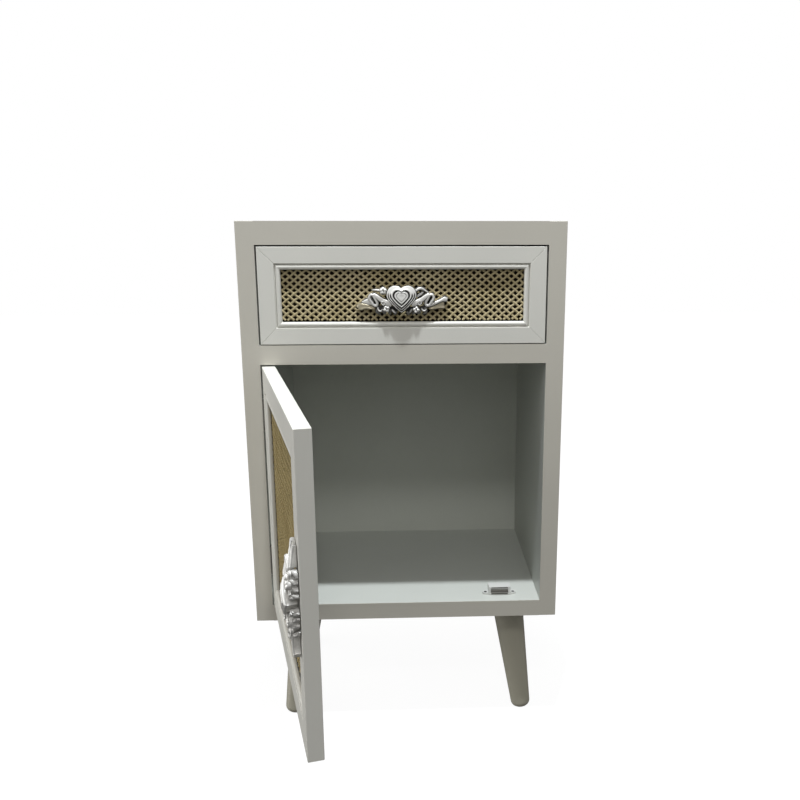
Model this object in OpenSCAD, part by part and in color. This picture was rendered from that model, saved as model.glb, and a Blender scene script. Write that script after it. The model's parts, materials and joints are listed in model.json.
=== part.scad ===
// Bedside pot cupboard: a drawer over an inset cupboard door on four splayed legs.
// X runs to the viewer's right, Y to the back and Z up; Z = 0 is the floor.
// The door stands open by door_open, and the origin is under the middle of everything.

/* [Carcass] */
// Overall width across the two side boards
carcass_w = 400; // [360:1:460]
// Depth from the front edges to the back face
carcass_d = 280; // [250:1:340]
// Clear height of the cupboard
cupboard_h = 322; // [260:1:400]
// Clear height of the drawer bay
bay_h = 121; // [112:1:160]
// Thickness of each side board
side_t = 22; // [20:0.5:28]
// Thickness of the top board
top_t = 28; // [22:0.5:36]
// Thickness of the divider between the bay and the cupboard
divider_t = 24; // [18:0.5:30]
// Thickness of the bottom board
bottom_t = 22; // [20:0.5:30]
// Thickness of the back panel
back_t = 5; // [3:0.5:8]
// Width of the rebate that the back panel sits in
back_rebate = 10; // [8:0.5:14]
// Diameter of the dowels that join the boards
dowel_d = 8; // [6:1:10]
// Length of the dowels
dowel_len = 35; // [30:1:40]
// Depth of the dowel holes in the side boards
dowel_in_side = 12; // [10:0.5:14]
// Distance from a board's edge to its dowel
dowel_edge = 45; // [35:1:60]

/* [Legs] */
// Height of the legs under the carcass
leg_h = 156; // [120:1:220]
// Diameter of a leg at the top
leg_top_d = 44; // [36:0.5:50]
// Diameter of a leg just above its rounded foot
leg_foot_d = 27; // [22:0.5:32]
// Radius of the rounding at the foot
leg_round = 9; // [4:0.5:10]
// How far the cut at the floor shortens the rounded foot
leg_foot_flat = 2; // [1:0.1:3]
// Lean of a leg to the side, and as much to the front or back
leg_splay = 7.5; // [3:0.5:10]
// Distance from the side of the carcass to a leg's top centre
leg_inset_x = 59.5; // [50:0.5:75]
// Distance from the front or back of the carcass to a leg's top centre
leg_inset_y = 58; // [45:0.5:75]
// How much further out than the front pair the back legs stand
leg_back_out = 3.5; // [0:0.5:8]
// Diameter of the hanger bolts that hold the legs
leg_bolt_d = 8; // [6:1:10]
// Length of a hanger bolt inside the leg
leg_bolt_in_leg = 25; // [20:1:35]
// Length of a hanger bolt inside the bottom board
leg_bolt_in_board = 16; // [12:0.5:18]

/* [Frame moulding] */
// Thickness of the door and of the drawer front
frame_t = 16; // [14:0.5:22]
// Width of the flat land of the door frame
door_land = 27.5; // [22:0.5:40]
// Width of the flat land of the drawer frame
drawer_land = 20; // [16:0.5:24]
// Width of the groove between land and bead
groove_w = 1; // [0.6:0.1:2]
// Depth of the groove between land and bead
groove_depth = 1.6; // [0.8:0.1:2.4]
// Width of the half-round bead at the inner edge
bead_w = 6.4; // [4:0.2:8]
// How far the bead lies behind the land
bead_set = 0.3; // [0:0.1:1]
// Depth from the front of the land to the cane
lip_t = 5.5; // [5:0.1:7]
// Width of the rebate behind the bead
rebate_w = 5; // [4:0.2:6]

/* [Cane webbing] */
// Thickness of the cane sheet
cane_t = 2; // [1:0.2:3]
// Width of the strands that cross in the drawer's sheet
drawer_strand = 3.6; // [2:0.1:5]
// Width of a mesh of the drawer's sheet
drawer_mesh_w = 16; // [15:0.2:24]
// Width of the strands that cross in the door's sheet
door_strand = 6; // [3:0.1:8]
// Width of a mesh of the door's sheet
door_mesh_w = 30; // [29:0.2:40]
// Height of a mesh as a share of its width
mesh_ratio = 0.78; // [0.6:0.02:1]

/* [Door] */
// How far the door stands open, in degrees
door_open = 76; // [60:1:88]
// Gap above, below and beside the free edge of the door
door_gap = 2; // [1.5:0.1:3]
// Thickness of the board behind the door's cane
door_backing_t = 4; // [3:0.5:6]
// Distance from the door's free edge to the middle of its handle
door_handle_in = 20.7; // [20:0.1:26]

/* [Hinges] */
// Gap between the hinge edge of the door and the side board
hinge_gap = 3.8; // [3.6:0.1:5]
// Height of a hinge
hinge_h = 38; // [30:1:50]
// Distance from the end of the door to the nearer end of a hinge
hinge_end = 43; // [30:1:70]
// Width of a hinge leaf along the board's edge
leaf_w = 15; // [12:0.5:17]
// Thickness of a hinge leaf
leaf_t = 1; // [0.8:0.1:1.4]
// Outer diameter of a hinge knuckle
knuckle_d = 3.4; // [3:0.1:3.4]
// Diameter of a hinge pin
pin_d = 1.6; // [1.4:0.1:1.8]
// Radial running clearance between pin and moving knuckle
pin_clear = 0.05; // [0.02:0.01:0.1]

/* [Drawer] */
// Gap above and beside the drawer front
front_gap = 2; // [1:0.1:3]
// Gap under the drawer front
front_gap_below = 1; // [0.6:0.1:2]
// Thickness of the drawer box's front, sides and back
box_wall = 12; // [11:0.5:14]
// Clear space between a drawer side and the side board
box_side_gap = 5; // [3:0.5:7]
// Clear space under the drawer box
box_below = 10; // [6:1:14]
// Clear space above the drawer box
box_above = 11; // [8:1:16]
// Clear space behind the drawer box
box_behind = 22; // [12:1:40]
// Thickness of the drawer bottom
box_bottom_t = 4; // [3:0.5:6]
// Height of the drawer bottom above the lower edge of the box
box_bottom_up = 10; // [8:1:14]
// Depth of the grooves that hold the drawer bottom
box_bottom_bite = 5; // [3:0.5:5.5]

/* [Runners] */
// Height of a wooden runner
runner_h = 16; // [12:1:20]
// How far a runner reaches into the groove of the drawer side
runner_bite = 5; // [3:0.5:5.5]
// Running clearance of the drawer on its runners
runner_clear = 0.3; // [0.2:0.05:0.6]

/* [Handles] */
// Distance between the two screws of a handle
handle_pitch = 64; // [60:1:66]
// How far the crown of the heart stands off the face
handle_out = 17.5; // [16:0.5:22]
// Depth of the finger space behind the heart
finger_gap = 11; // [9:0.5:12]
// Width of the heart
heart_w = 37.5; // [32:0.5:40]
// Width across the folded ribbon beside the heart
fold_w = 11; // [9:0.5:12]
// Length of a handle from tip to tip
handle_len = 115; // [108:1:120]
// Diameter of the posts under the ribbons
post_d = 8; // [7:0.5:9]
// Diameter of the handle screws
handle_screw_d = 4; // [3:0.5:5]

/* [Catch] */
// Distance from the free side board to the middle of the catch
catch_in = 52; // [40:1:80]
// Width of the catch body
catch_w = 30; // [24:1:36]
// Overall length of the catch with its two ears
catch_len = 45.5; // [42:0.5:52]
// Depth of the catch body
catch_d = 14.5; // [12:0.5:20]
// Height of the catch body
catch_h = 12; // [10:0.5:16]
// Thickness of the strike plate on the door
strike_t = 1.2; // [0.8:0.1:2]
// Air between the closed strike plate and the catch
strike_gap = 0.3; // [0.2:0.05:0.6]

/* [Hidden] */
$fn = 48;

// Clearances and small sizes shared by several pieces
fit = 0.05;             // radial clearance round a dowel or a screw shank
seat = 0.3;             // clearance round a panel in its rebate or groove
screw_d = 3;            // wood screw shank
screw_head_d = 6;       // countersunk head
screw_head_h = 1.6;

// Levels, from the floor up
z_under = leg_h;
z_floor = z_under + bottom_t;
z_ceiling = z_floor + cupboard_h;
z_bay = z_ceiling + divider_t;
z_bay_top = z_bay + bay_h;
z_top = z_bay_top + top_t;

inner_x = carcass_w / 2 - side_t;       // inner face of a side board
back_y = carcass_d - back_t;            // front face of the back panel

// Hinge axis, in the gap and level with the front faces
axis_x = -inner_x + hinge_gap / 2;

// Door, as it lies when closed
door_x0 = -inner_x + hinge_gap;
door_x1 = inner_x - door_gap;
door_z0 = z_floor + door_gap;
door_z1 = z_ceiling - door_gap;
door_frame_w = door_land + groove_w + bead_w;
door_handle_x = door_x1 - door_handle_in;
door_handle_z = (door_z0 + door_z1) / 2;

// The front of everything is the free edge of the open door; the back is the back panel
front_y = ((door_x1 - axis_x) * sin(door_open) - carcass_d) / 2;

// Drawer front, closed
front_x = inner_x - front_gap;
front_z0 = z_bay + front_gap_below;
front_z1 = z_bay_top - front_gap;
drawer_frame_w = drawer_land + groove_w + bead_w;
drawer_handle_z = (front_z0 + front_z1) / 2;

// Drawer box
box_x = inner_x - box_side_gap;                 // outer face of a drawer side
box_in_x = box_x - box_wall;                    // inner face of a drawer side
box_z0 = z_bay + box_below;
box_z1 = z_bay_top - box_above;
box_y1 = back_y - box_behind;
box_floor = box_z0 + box_bottom_up;             // underside of the drawer bottom
box_screw_low = box_floor + box_bottom_t + 8;
box_screw_high = box_z1 - 12;
front_screw_x = front_x - (drawer_land + groove_w + bead_w - rebate_w) + screw_d / 2 + 0.8;
runner_z0 = (box_floor + box_bottom_t + box_z1) / 2 - runner_h / 2;
runner_w = box_side_gap + runner_bite;
runner_y0 = frame_t + seat;                     // the runner's end stops the drawer front
runner_y1 = back_y - 8;
runner_screw_ys = [runner_y0 + 30, runner_y1 - 40];

// Catch
catch_x = inner_x - catch_in;
strike_y = frame_t + strike_t;
pole_out = 1;
catch_y0 = strike_y + strike_gap + pole_out;
catch_ear_t = 2.5;
catch_hole_x = (catch_w + catch_len) / 4;       // middle of an ear
catch_ear_d = 11;

// Hinges
hinge_zs = [door_z0 + hinge_end, door_z1 - hinge_end - hinge_h];
knuckle_h = hinge_h / 3;
knuckle_play = 0.25;
leaf_screw_d = 2.4;
leaf_head_d = 4.2;
leaf_screw_zs = [hinge_h * 0.2, hinge_h * 0.8];
leaf_screw_y = leaf_w * 0.62;

// Handle, seen from the front with the heart upright
lobe_ratio = 0.267;                             // lobe radius as a share of the heart's width
point_ratio = 0.636;                            // point below the lobe centres, likewise
heart_up = (point_ratio - lobe_ratio) * heart_w / 2;
fold_x = handle_pitch / 2;
dome_r = 52;                                    // radius of the heart's crown
ring_depth = 1.3;
ribbon_lap = 4;                                 // how far the ribbons reach below the heart's back
post_y = -2;
post_h = 3.5;
post_bore = 5;

paint = [0.86, 0.85, 0.81];
front_paint = [0.90, 0.90, 0.88];
raw_wood = [0.80, 0.69, 0.50];
cane_tan = [0.74, 0.63, 0.42];
core_brown = [0.16, 0.12, 0.08];
steel = [0.72, 0.72, 0.72];
silver = [0.80, 0.79, 0.76];

// ---------- helpers ----------

module block(x0, x1, y0, y1, z0, z1)
    translate([x0, y0, z0]) cube([x1 - x0, y1 - y0, z1 - z0]);

// A rod from one point along X, Y or Z; a negative length runs the other way
module rod_x(at, len, d) translate(at) rotate([0, len < 0 ? -90 : 90, 0]) cylinder(d = d, h = abs(len));
module rod_y(at, len, d) translate(at) rotate([len < 0 ? 90 : -90, 0, 0]) cylinder(d = d, h = abs(len));
module rod_z(at, len, d) translate(at) rotate([len < 0 ? 180 : 0, 0, 0]) cylinder(d = d, h = abs(len));

// A countersunk wood screw with its head's top at the origin, pointing down -Z
module screw(len, d = screw_d, head_d = screw_head_d, head_h = screw_head_h) {
    tip = d * 1.2;
    translate([0, 0, -head_h]) cylinder(d1 = d, d2 = head_d, h = head_h);
    translate([0, 0, tip - len]) cylinder(d = d, h = len - tip);
    translate([0, 0, -len]) cylinder(d1 = 0.4, d2 = d, h = tip);
}

// The hole that the screw sits in
module screw_hole(len, d = screw_d, head_d = screw_head_d, head_h = screw_head_h) {
    lift = 0.5;
    slope = (head_d - d) / 2 / head_h;
    translate([0, 0, -head_h])
        cylinder(d1 = d + 2 * fit, d2 = head_d + 2 * fit + 2 * slope * lift, h = head_h + lift);
    translate([0, 0, -len - 0.5]) cylinder(d = d + 2 * fit, h = len + 0.5);
}

// Turns a thing that points down -Z so that it points along the given way
module point_x(way) rotate([0, -90 * way, 0]) children();
module point_y(way) rotate([90 * way, 0, 0]) children();

// The door's pieces are drawn closed and swung open about the hinge axis
module swung() translate([axis_x, 0, 0]) rotate([0, 0, -door_open]) translate([-axis_x, 0, 0]) children();

module whole() translate([0, front_y, 0]) children();

// ---------- carcass ----------

function dowel_ys() = [dowel_edge, back_y - dowel_edge];
function board_mid_zs() = [z_under + bottom_t / 2, z_ceiling + divider_t / 2, z_bay_top + top_t / 2];

module dowel_places(side)
    for (y = dowel_ys(), z = board_mid_zs()) translate([side * inner_x, y, z]) children();

module dowel_holes(side) {
    dowel_places(side) {
        rod_x([0, 0, 0], side * (dowel_in_side + 0.5), dowel_d + 2 * fit);
        rod_x([0, 0, 0], -side * (dowel_len - dowel_in_side + 0.5), dowel_d + 2 * fit);
    }
}

function back_screw_places() = concat(
    [for (s = [-1, 1], z = [z_under + 35, (z_floor + z_ceiling) / 2, z_top - 35])
        [s * (inner_x + back_rebate / 2), z]],
    [for (s = [-1, 1]) [s * inner_x / 3, z_ceiling + divider_t / 2]],
    [[0, z_under + bottom_t - back_rebate / 2], [0, z_bay_top + back_rebate / 2]]
);

module at_back_screws()
    for (p = back_screw_places()) translate([p[0], carcass_d, p[1]]) point_y(-1) children();

back_screw_len = 16;

module side_board(side)
    color(paint) difference() {
        block(side < 0 ? -carcass_w / 2 : inner_x, side < 0 ? -inner_x : carcass_w / 2,
              0, carcass_d, z_under, z_top);
        // Rebate for the back panel
        block(side < 0 ? -inner_x - back_rebate : inner_x - 1, side < 0 ? -inner_x + 1 : inner_x + back_rebate,
              back_y, carcass_d + 1, z_floor - back_rebate, z_bay_top + back_rebate);
        dowel_holes(side);
        at_back_screws() screw_hole(back_screw_len);
        at_runner_screws(side) screw_hole(runner_screw_len);
        if (side < 0) at_leaf_screws(-1) screw_hole(leaf_screw_len, leaf_screw_d, leaf_head_d);
    }

// The rebate above the bottom board's or below the top board's inner face
module cross_board(z0, z1, rebate_z0, rebate_z1)
    difference() {
        block(-inner_x, inner_x, 0, carcass_d, z0, z1);
        block(-inner_x - 1, inner_x + 1, back_y, carcass_d + 1, rebate_z0, rebate_z1);
        dowel_holes(-1);
        dowel_holes(1);
        at_back_screws() screw_hole(back_screw_len);
    }

module top_board() color(paint) cross_board(z_bay_top, z_top, z_bay_top - 1, z_bay_top + back_rebate);

module divider_board() color(paint) cross_board(z_ceiling, z_bay, z_ceiling - 1, z_bay + 1);

module bottom_board()
    color(paint) difference() {
        cross_board(z_under, z_floor, z_floor - back_rebate, z_floor + 1);
        at_legs() rod_z([0, 0, -1], leg_bolt_in_board + 1.5, leg_bolt_d + 2 * fit);
        at_catch_screws() screw_hole(catch_screw_len, leaf_screw_d, leaf_head_d);
    }

module back_panel()
    color(raw_wood) difference() {
        block(-inner_x - back_rebate + seat, inner_x + back_rebate - seat, back_y, carcass_d,
              z_floor - back_rebate + seat, z_bay_top + back_rebate - seat);
        at_back_screws() screw_hole(back_screw_len);
    }

module carcass_dowels()
    color(raw_wood) for (side = [-1, 1]) dowel_places(side)
        rod_x([side * dowel_in_side, 0, 0], -side * dowel_len, dowel_d);

module back_screws() color(steel) at_back_screws() screw(back_screw_len);

// ---------- legs ----------

module at_legs()
    for (sx = [-1, 1], sy = [-1, 1]) translate(leg_top(sx, sy)) children();

// Top centre of a leg; sx is -1 at the left, sy is -1 at the front
function leg_top(sx, sy) = [
    sx * (carcass_w / 2 - leg_inset_x + (sy < 0 ? 0 : leg_back_out)),
    sy < 0 ? leg_inset_y : carcass_d - leg_inset_y,
    z_under
];

// A turned, tapered leg hanging down -Z from the origin, with a rounded foot
module turned_leg(len) {
    over = 12;
    foot_r = leg_foot_d / 2;
    grow = (leg_top_d / 2 - foot_r) / len;
    rotate_extrude() polygon(concat(
        [[0, over], [leg_top_d / 2 + grow * over, over]],
        [for (a = [0:15:90]) [foot_r - leg_round * (1 - cos(a)), leg_round * (1 - sin(a)) - len]],
        [[0, -len]]));
}

module leg(sx, sy) {
    tilt_y = sx * leg_splay;
    tilt_x = atan(sy * tan(leg_splay) * cos(leg_splay));
    run = leg_h / (cos(tilt_x) * cos(tilt_y)) + leg_foot_flat;
    color(paint) difference() {
        intersection() {
            translate(leg_top(sx, sy)) rotate([tilt_x, -tilt_y, 0]) turned_leg(run);
            block(-carcass_w, carcass_w, -carcass_d, 2 * carcass_d, 0, z_under);
        }
        translate(leg_top(sx, sy)) rod_z([0, 0, 1], -leg_bolt_in_leg - 1.5, leg_bolt_d + 2 * fit);
    }
}

module leg_bolts()
    color(steel) at_legs() rod_z([0, 0, -leg_bolt_in_leg], leg_bolt_in_leg + leg_bolt_in_board, leg_bolt_d);

// ---------- drawer runners ----------

runner_screw_len = 24;

module at_runner_screws(side)
    for (y = runner_screw_ys) translate([side * (inner_x - runner_w), y, runner_z0 + runner_h / 2])
        point_x(side) children();

module runner(side)
    color(raw_wood) difference() {
        block(side < 0 ? -inner_x : inner_x - runner_w, side < 0 ? runner_w - inner_x : inner_x,
              runner_y0, runner_y1, runner_z0, runner_z0 + runner_h);
        at_runner_screws(side) screw_hole(runner_screw_len);
    }

module runner_screws() color(steel) for (side = [-1, 1]) at_runner_screws(side) screw(runner_screw_len);

// ---------- magnetic catch ----------

catch_screw_len = 12;
pole_t = 1.4;
pole_w = catch_w - 7;
magnet_h = 3.2;
pole_mid = catch_h / 2;
pocket_h = magnet_h + 2 * pole_t;

module at_catch() translate([catch_x, catch_y0, z_floor]) children();

module at_catch_screws()
    for (s = [-1, 1]) translate([catch_x + s * catch_hole_x, catch_y0 + catch_ear_d / 2 + 1, z_floor + catch_ear_t])
        children();

module catch_body()
    color([0.93, 0.93, 0.91]) difference() {
        at_catch() union() {
            block(-catch_w / 2, catch_w / 2, 0, catch_d, 0, catch_h);
            block(-catch_len / 2 + catch_ear_d / 2, catch_len / 2 - catch_ear_d / 2,
                  1, catch_ear_d + 1, 0, catch_ear_t);
            for (s = [-1, 1])
                rod_z([s * (catch_len - catch_ear_d) / 2, catch_ear_d / 2 + 1, 0], catch_ear_t, catch_ear_d);
        }
        at_catch() block(-pole_w / 2 - fit, pole_w / 2 + fit, -1, catch_d - 2,
                         pole_mid - pocket_h / 2 - fit, pole_mid + pocket_h / 2 + fit);
        at_catch_screws() screw_hole(catch_screw_len, leaf_screw_d, leaf_head_d);
    }

module catch_poles()
    color([0.35, 0.34, 0.31]) at_catch() for (s = [-1, 1])
        block(-pole_w / 2, pole_w / 2, -pole_out, catch_d - 2.5,
              pole_mid + (s < 0 ? -pocket_h / 2 : magnet_h / 2), pole_mid + (s < 0 ? -magnet_h / 2 : pocket_h / 2));

module catch_magnet()
    color([0.2, 0.2, 0.2]) at_catch()
        block(-pole_w / 2 + 1, pole_w / 2 - 1, 1.2, catch_d - 2.5, pole_mid - magnet_h / 2, pole_mid + magnet_h / 2);

module catch_screws() color(steel) at_catch_screws() screw(catch_screw_len, leaf_screw_d, leaf_head_d);

// ---------- hinges ----------

leaf_screw_len = 13;

// Screw places on the side board (way = -1) or on the closed door's hinge edge (way = 1)
module at_leaf_screws(way)
    for (z0 = hinge_zs, dz = leaf_screw_zs)
        translate([axis_x + way * (hinge_gap / 2 - leaf_t), leaf_screw_y, z0 + dz]) point_x(way) children();

// One leaf of a hinge on the line x = 0, y = 0, lying towards way; knuckles lists which thirds it holds
module leaf(way, knuckles, bore_d) {
    out = hinge_gap / 2;
    clear = knuckle_d / 2 + 0.3;
    difference() {
        union() {
            block(way < 0 ? -out : out - leaf_t, way < 0 ? leaf_t - out : out, clear, leaf_w, 0, hinge_h);
            for (k = knuckles) {
                z0 = k * knuckle_h + (k > 0 ? knuckle_play / 2 : 0);
                z1 = (k + 1) * knuckle_h - (k < 2 ? knuckle_play / 2 : 0);
                rod_z([0, 0, z0], z1 - z0, knuckle_d);
                block(way < 0 ? -out : out - leaf_t, way < 0 ? leaf_t - out : out, 0, clear, z0, z1);
            }
        }
        rod_z([0, 0, -1], hinge_h + 2, bore_d);
        for (dz = leaf_screw_zs) translate([way * (out - leaf_t), leaf_screw_y, dz])
            point_x(way) screw_hole(leaf_screw_len, leaf_screw_d, leaf_head_d);
    }
}

module fixed_leaf(z0) color(steel) translate([axis_x, 0, z0]) leaf(-1, [0, 2], pin_d);

module door_leaf(z0) color(steel) swung() translate([axis_x, 0, z0]) leaf(1, [1], pin_d + 2 * pin_clear);

module hinge_pins() color(steel) for (z0 = hinge_zs) rod_z([axis_x, 0, z0], hinge_h, pin_d);

module hinge_fixed_screws() color(steel) at_leaf_screws(-1) screw(leaf_screw_len, leaf_screw_d, leaf_head_d);

module hinge_door_screws()
    color(steel) swung() at_leaf_screws(1) screw(leaf_screw_len, leaf_screw_d, leaf_head_d);

// ---------- mitred frame mouldings ----------

// Cross-section: first number is the depth from the front, second the distance from the outer edge
module moulding_section(land) {
    width = land + groove_w + bead_w;
    bead_r = bead_w / 2;
    difference() {
        union() {
            square([frame_t, land]);
            translate([groove_depth, 0]) square([frame_t - groove_depth, land + groove_w]);
            translate([bead_set + bead_r, width - bead_w]) square([frame_t - bead_set - bead_r, bead_w]);
            translate([bead_set + bead_r, width - bead_r]) circle(r = bead_r);
        }
        translate([lip_t, width - rebate_w]) square([frame_t, rebate_w + 1]);
    }
}

// A mitred length lying along +X from the origin, with its outer edge at the bottom
module moulding(len, land) {
    width = land + groove_w + bead_w;
    intersection() {
        rotate([90, 0, 90]) linear_extrude(len) moulding_section(land);
        translate([0, frame_t + 1, 0]) rotate([90, 0, 0]) linear_extrude(frame_t + 2)
            polygon([[0, 0], [len, 0], [len - width, width], [width, width]]);
    }
}

module bottom_rail(x0, x1, z0, land) translate([x0, 0, z0]) moulding(x1 - x0, land);
module top_rail(x0, x1, z1, land) translate([x1, 0, z1]) rotate([0, 180, 0]) moulding(x1 - x0, land);
module left_stile(x0, z0, z1, land) translate([x0, 0, z1]) rotate([0, 90, 0]) moulding(z1 - z0, land);
module right_stile(x1, z0, z1, land) translate([x1, 0, z0]) rotate([0, -90, 0]) moulding(z1 - z0, land);

// A flat sheet of crossing strands that fills a frame: w and h are the opening in the frame.
// Screws pass it at the given points, where no mesh is left open.
module cane_sheet(w, h, mesh_w, strand, passes = []) {
    mesh_h = mesh_w * mesh_ratio;
    lap = rebate_w - seat;
    lean = atan(mesh_ratio);
    hole_w = mesh_w - strand / sin(lean);       // half-diagonals of the open diamond, doubled
    hole_h = mesh_h - strand / cos(lean);
    nx = floor((w - strand) / mesh_w);
    nz = floor((h - strand) / mesh_h);
    grid = [for (j = [0 : 2 * nz - 2]) for (i = [0 : nx - 1 - j % 2])
        [(i - (nx - 1 - j % 2) / 2) * mesh_w, (j - (nz - 1)) * mesh_h / 2]];
    pass_r = handle_screw_d / 2 + fit;
    rows = [for (c = grid) if (min([for (p = concat([[w, h]], passes)) norm(c - p)]) > pass_r + hole_w / 2 + 0.6) c];
    sheet = [[-w / 2 - lap, -h / 2 - lap], [w / 2 + lap, -h / 2 - lap],
             [w / 2 + lap, h / 2 + lap], [-w / 2 - lap, h / 2 + lap]];
    open_mesh = [for (c = rows) each
        [c + [hole_w / 2, 0], c + [0, hole_h / 2], c - [hole_w / 2, 0], c - [0, hole_h / 2]]];
    pierced = [for (p = passes) each [for (k = [0 : 3]) p + pass_r * sqrt(2) * [cos(45 + 90 * k), sin(45 + 90 * k)]]];
    holes = concat(open_mesh, pierced);
    paths = [for (k = [0 : len(rows) + len(passes)]) [for (m = [0 : 3]) 4 * k + m]];
    color(cane_tan) translate([0, lip_t + cane_t, 0]) rotate([90, 0, 0]) linear_extrude(cane_t)
        polygon(concat(sheet, holes), paths);
}

// ---------- handle ----------

// Outline of a heart, w wide, with its lobe centres on the X axis
module heart_outline(w) {
    r = lobe_ratio * w;
    c = w / 2 - r;
    d = point_ratio * w;
    ease = 0.98 * r;                            // the flanks run just inside the lobes, so that they cross them
    reach = sqrt(c * c + d * d - ease * ease);
    lean = atan(c / d) + asin(ease / sqrt(c * c + d * d));
    touch = [reach * sin(lean), reach * cos(lean) - d];
    for (s = [-1, 1]) translate([s * c, 0]) circle(r = r);
    polygon([[0, -d], touch, [c, 0], [0, sqrt(r * r - c * c) * 0.9], [-c, 0], [-touch[0], touch[1]]]);
}

// A bar with round ends from p to q
module lozenge(p, q, r) {
    v = q - p;
    for (e = [p, q]) translate(e) circle(r = r);
    translate(p) rotate(atan2(v[1], v[0])) translate([0, -0.98 * r]) square([norm(v), 1.96 * r]);
}

// A smaller heart set evenly inside the full one; part is its share of the full width
module inner_heart(part) translate([0, (part - 1) * 0.07 * heart_w]) heart_outline(heart_w * part);

// The domed heart with two sunk rings between its rims
module heart_boss() {
    rings = [[0.89, 0.82], [0.58, 0.50]];
    centre = [0, -heart_up, handle_out - dome_r];
    translate([0, heart_up, 0]) difference() {
        intersection() {
            translate([0, 0, finger_gap]) linear_extrude(handle_out - finger_gap) heart_outline(heart_w);
            translate(centre) sphere(r = dome_r);
        }
        for (ring = rings) difference() {
            translate([0, 0, finger_gap]) linear_extrude(handle_out) difference() {
                inner_heart(ring[0]);
                inner_heart(ring[1]);
            }
            translate(centre) sphere(r = dome_r - ring_depth);
        }
    }
}

// The ribbon on the right of the heart: it rises to a hairpin fold and ends in a flared tail
module ribbon() {
    tail_end = handle_len / 2;
    fold_top = [fold_x + 1.5, 5.5];
    fold_low = [fold_x - 2.5, -6];
    // From behind the heart up to the fold
    translate([0, 0, finger_gap - ribbon_lap]) linear_extrude(ribbon_lap + 1)
        lozenge([heart_w * 0.33, -2], fold_top + [-1, 0.5], 3.4);
    // The fold, with the slit between its two layers
    difference() {
        translate([0, 0, post_h - 0.5]) linear_extrude(finger_gap - post_h - 1) lozenge(fold_top, fold_low, fold_w / 2);
        translate([0, 0, post_bore + 1]) linear_extrude(finger_gap) lozenge(fold_top, fold_low, 1.1);
    }
    // Upper edge of the tail, ending in a small knob
    translate([0, 0, 2.5]) linear_extrude(4) lozenge(fold_low + [1, -1], [tail_end - 3, 0], 2.2);
    translate([tail_end - 3, 0, 2]) cylinder(r1 = 3, r2 = 2.4, h = 4.5);
    // Underside of the tail, waisted and flared
    translate([0, 0, 1]) linear_extrude(post_h) difference() {
        polygon([fold_low, [tail_end - 1, 1], [tail_end - 2.5, -11.5], [fold_x - 1, -11.5]]);
        translate([(fold_x + tail_end) / 2 - 1, -11.5 - 13]) circle(r = 16.5);
    }
    // The vine that runs under the heart to the fold
    translate([0, 0, finger_gap - ribbon_lap]) linear_extrude(ribbon_lap + 1) intersection() {
        translate([fold_x - 11, 3]) difference() {
            circle(r = 17.5);
            circle(r = 15);
        }
        translate([8, -20]) square([fold_x - 8, 14]);
    }
    translate([fold_x, post_y, 0]) cylinder(d = post_d, h = post_h);
}

// A small flower of five petals, r across its petal centres
module flower(r) {
    for (k = [0 : 4]) rotate(72 * k + 90) translate([r, 0, 0]) cylinder(r1 = r * 0.75, r2 = r * 0.45, h = 4.5);
    cylinder(r1 = r * 0.8, r2 = r * 0.4, h = 5.6);
}

// Heart upright, seen from +Z, with the face that it is screwed to at Z = 0
module handle_flat() {
    lift = finger_gap - ribbon_lap;
    difference() {
        union() {
            heart_boss();
            ribbon();
            mirror([1, 0, 0]) ribbon();
            // A leaf with a flower beside the left lobe, and a frond beside the right one
            translate([0, 0, lift]) linear_extrude(ribbon_lap + 0.6) lozenge([1.5 - fold_x, 10.5], [-heart_w * 0.4, 9], 1.3);
            translate([0, 0, lift]) linear_extrude(ribbon_lap + 0.6) lozenge([heart_w * 0.4, 8.5], [fold_x - 2.5, 10.5], 1.9);
            for (f = [[-20.5, 9.5], [-17.5, -12], [17.5, -12], [24, -13]]) translate([f[0], f[1], lift]) flower(2.4);
        }
        for (s = [-1, 1]) translate([s * fold_x, post_y, -1]) cylinder(d = handle_screw_d + 2 * fit, h = post_bore + 1);
    }
}

// The same handle standing on an upright face whose front is y = 0
module handle() color(silver) rotate([90, 0, 0]) handle_flat();

// Two machine screws from behind a face, through thick of material
module handle_screws(thick) {
    head_d = 2 * handle_screw_d;
    head_h = 0.6 * handle_screw_d;
    color(steel) for (s = [-1, 1]) {
        rod_y([s * fold_x, 0.5 - post_bore, post_y], thick + post_bore - 0.5, handle_screw_d);
        rod_y([s * fold_x, thick, post_y], head_h, head_d);
    }
}

module handle_screw_holes(y0, y1)
    for (s = [-1, 1]) rod_y([s * fold_x, y0 - 1, post_y], y1 - y0 + 2, handle_screw_d + 2 * fit);

// ---------- door ----------

module on_door() translate([door_handle_x, 0, door_handle_z]) rotate([0, -90, 0]) children();

module door_hinge_stile()
    color(front_paint) swung() difference() {
        left_stile(door_x0, door_z0, door_z1, door_land);
        at_leaf_screws(1) screw_hole(leaf_screw_len, leaf_screw_d, leaf_head_d);
    }

module door_free_stile()
    color(front_paint) swung() difference() {
        right_stile(door_x1, door_z0, door_z1, door_land);
        on_door() handle_screw_holes(0, frame_t);
    }

module door_top_rail() color(front_paint) swung() top_rail(door_x0, door_x1, door_z1, door_land);

module door_bottom_rail()
    color(front_paint) swung() difference() {
        bottom_rail(door_x0, door_x1, door_z0, door_land);
        at_strike_screws() screw_hole(strike_screw_len, leaf_screw_d, leaf_head_d);
    }

// Middle and size of the opening in the door's frame
door_mid_x = (door_x0 + door_x1) / 2;
door_mid_z = (door_z0 + door_z1) / 2;
door_open_w = door_x1 - door_x0 - 2 * door_frame_w;
door_open_h = door_z1 - door_z0 - 2 * door_frame_w;

module door_cane()
    swung() translate([door_mid_x, 0, door_mid_z]) cane_sheet(door_open_w, door_open_h, door_mesh_w, door_strand);

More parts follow.
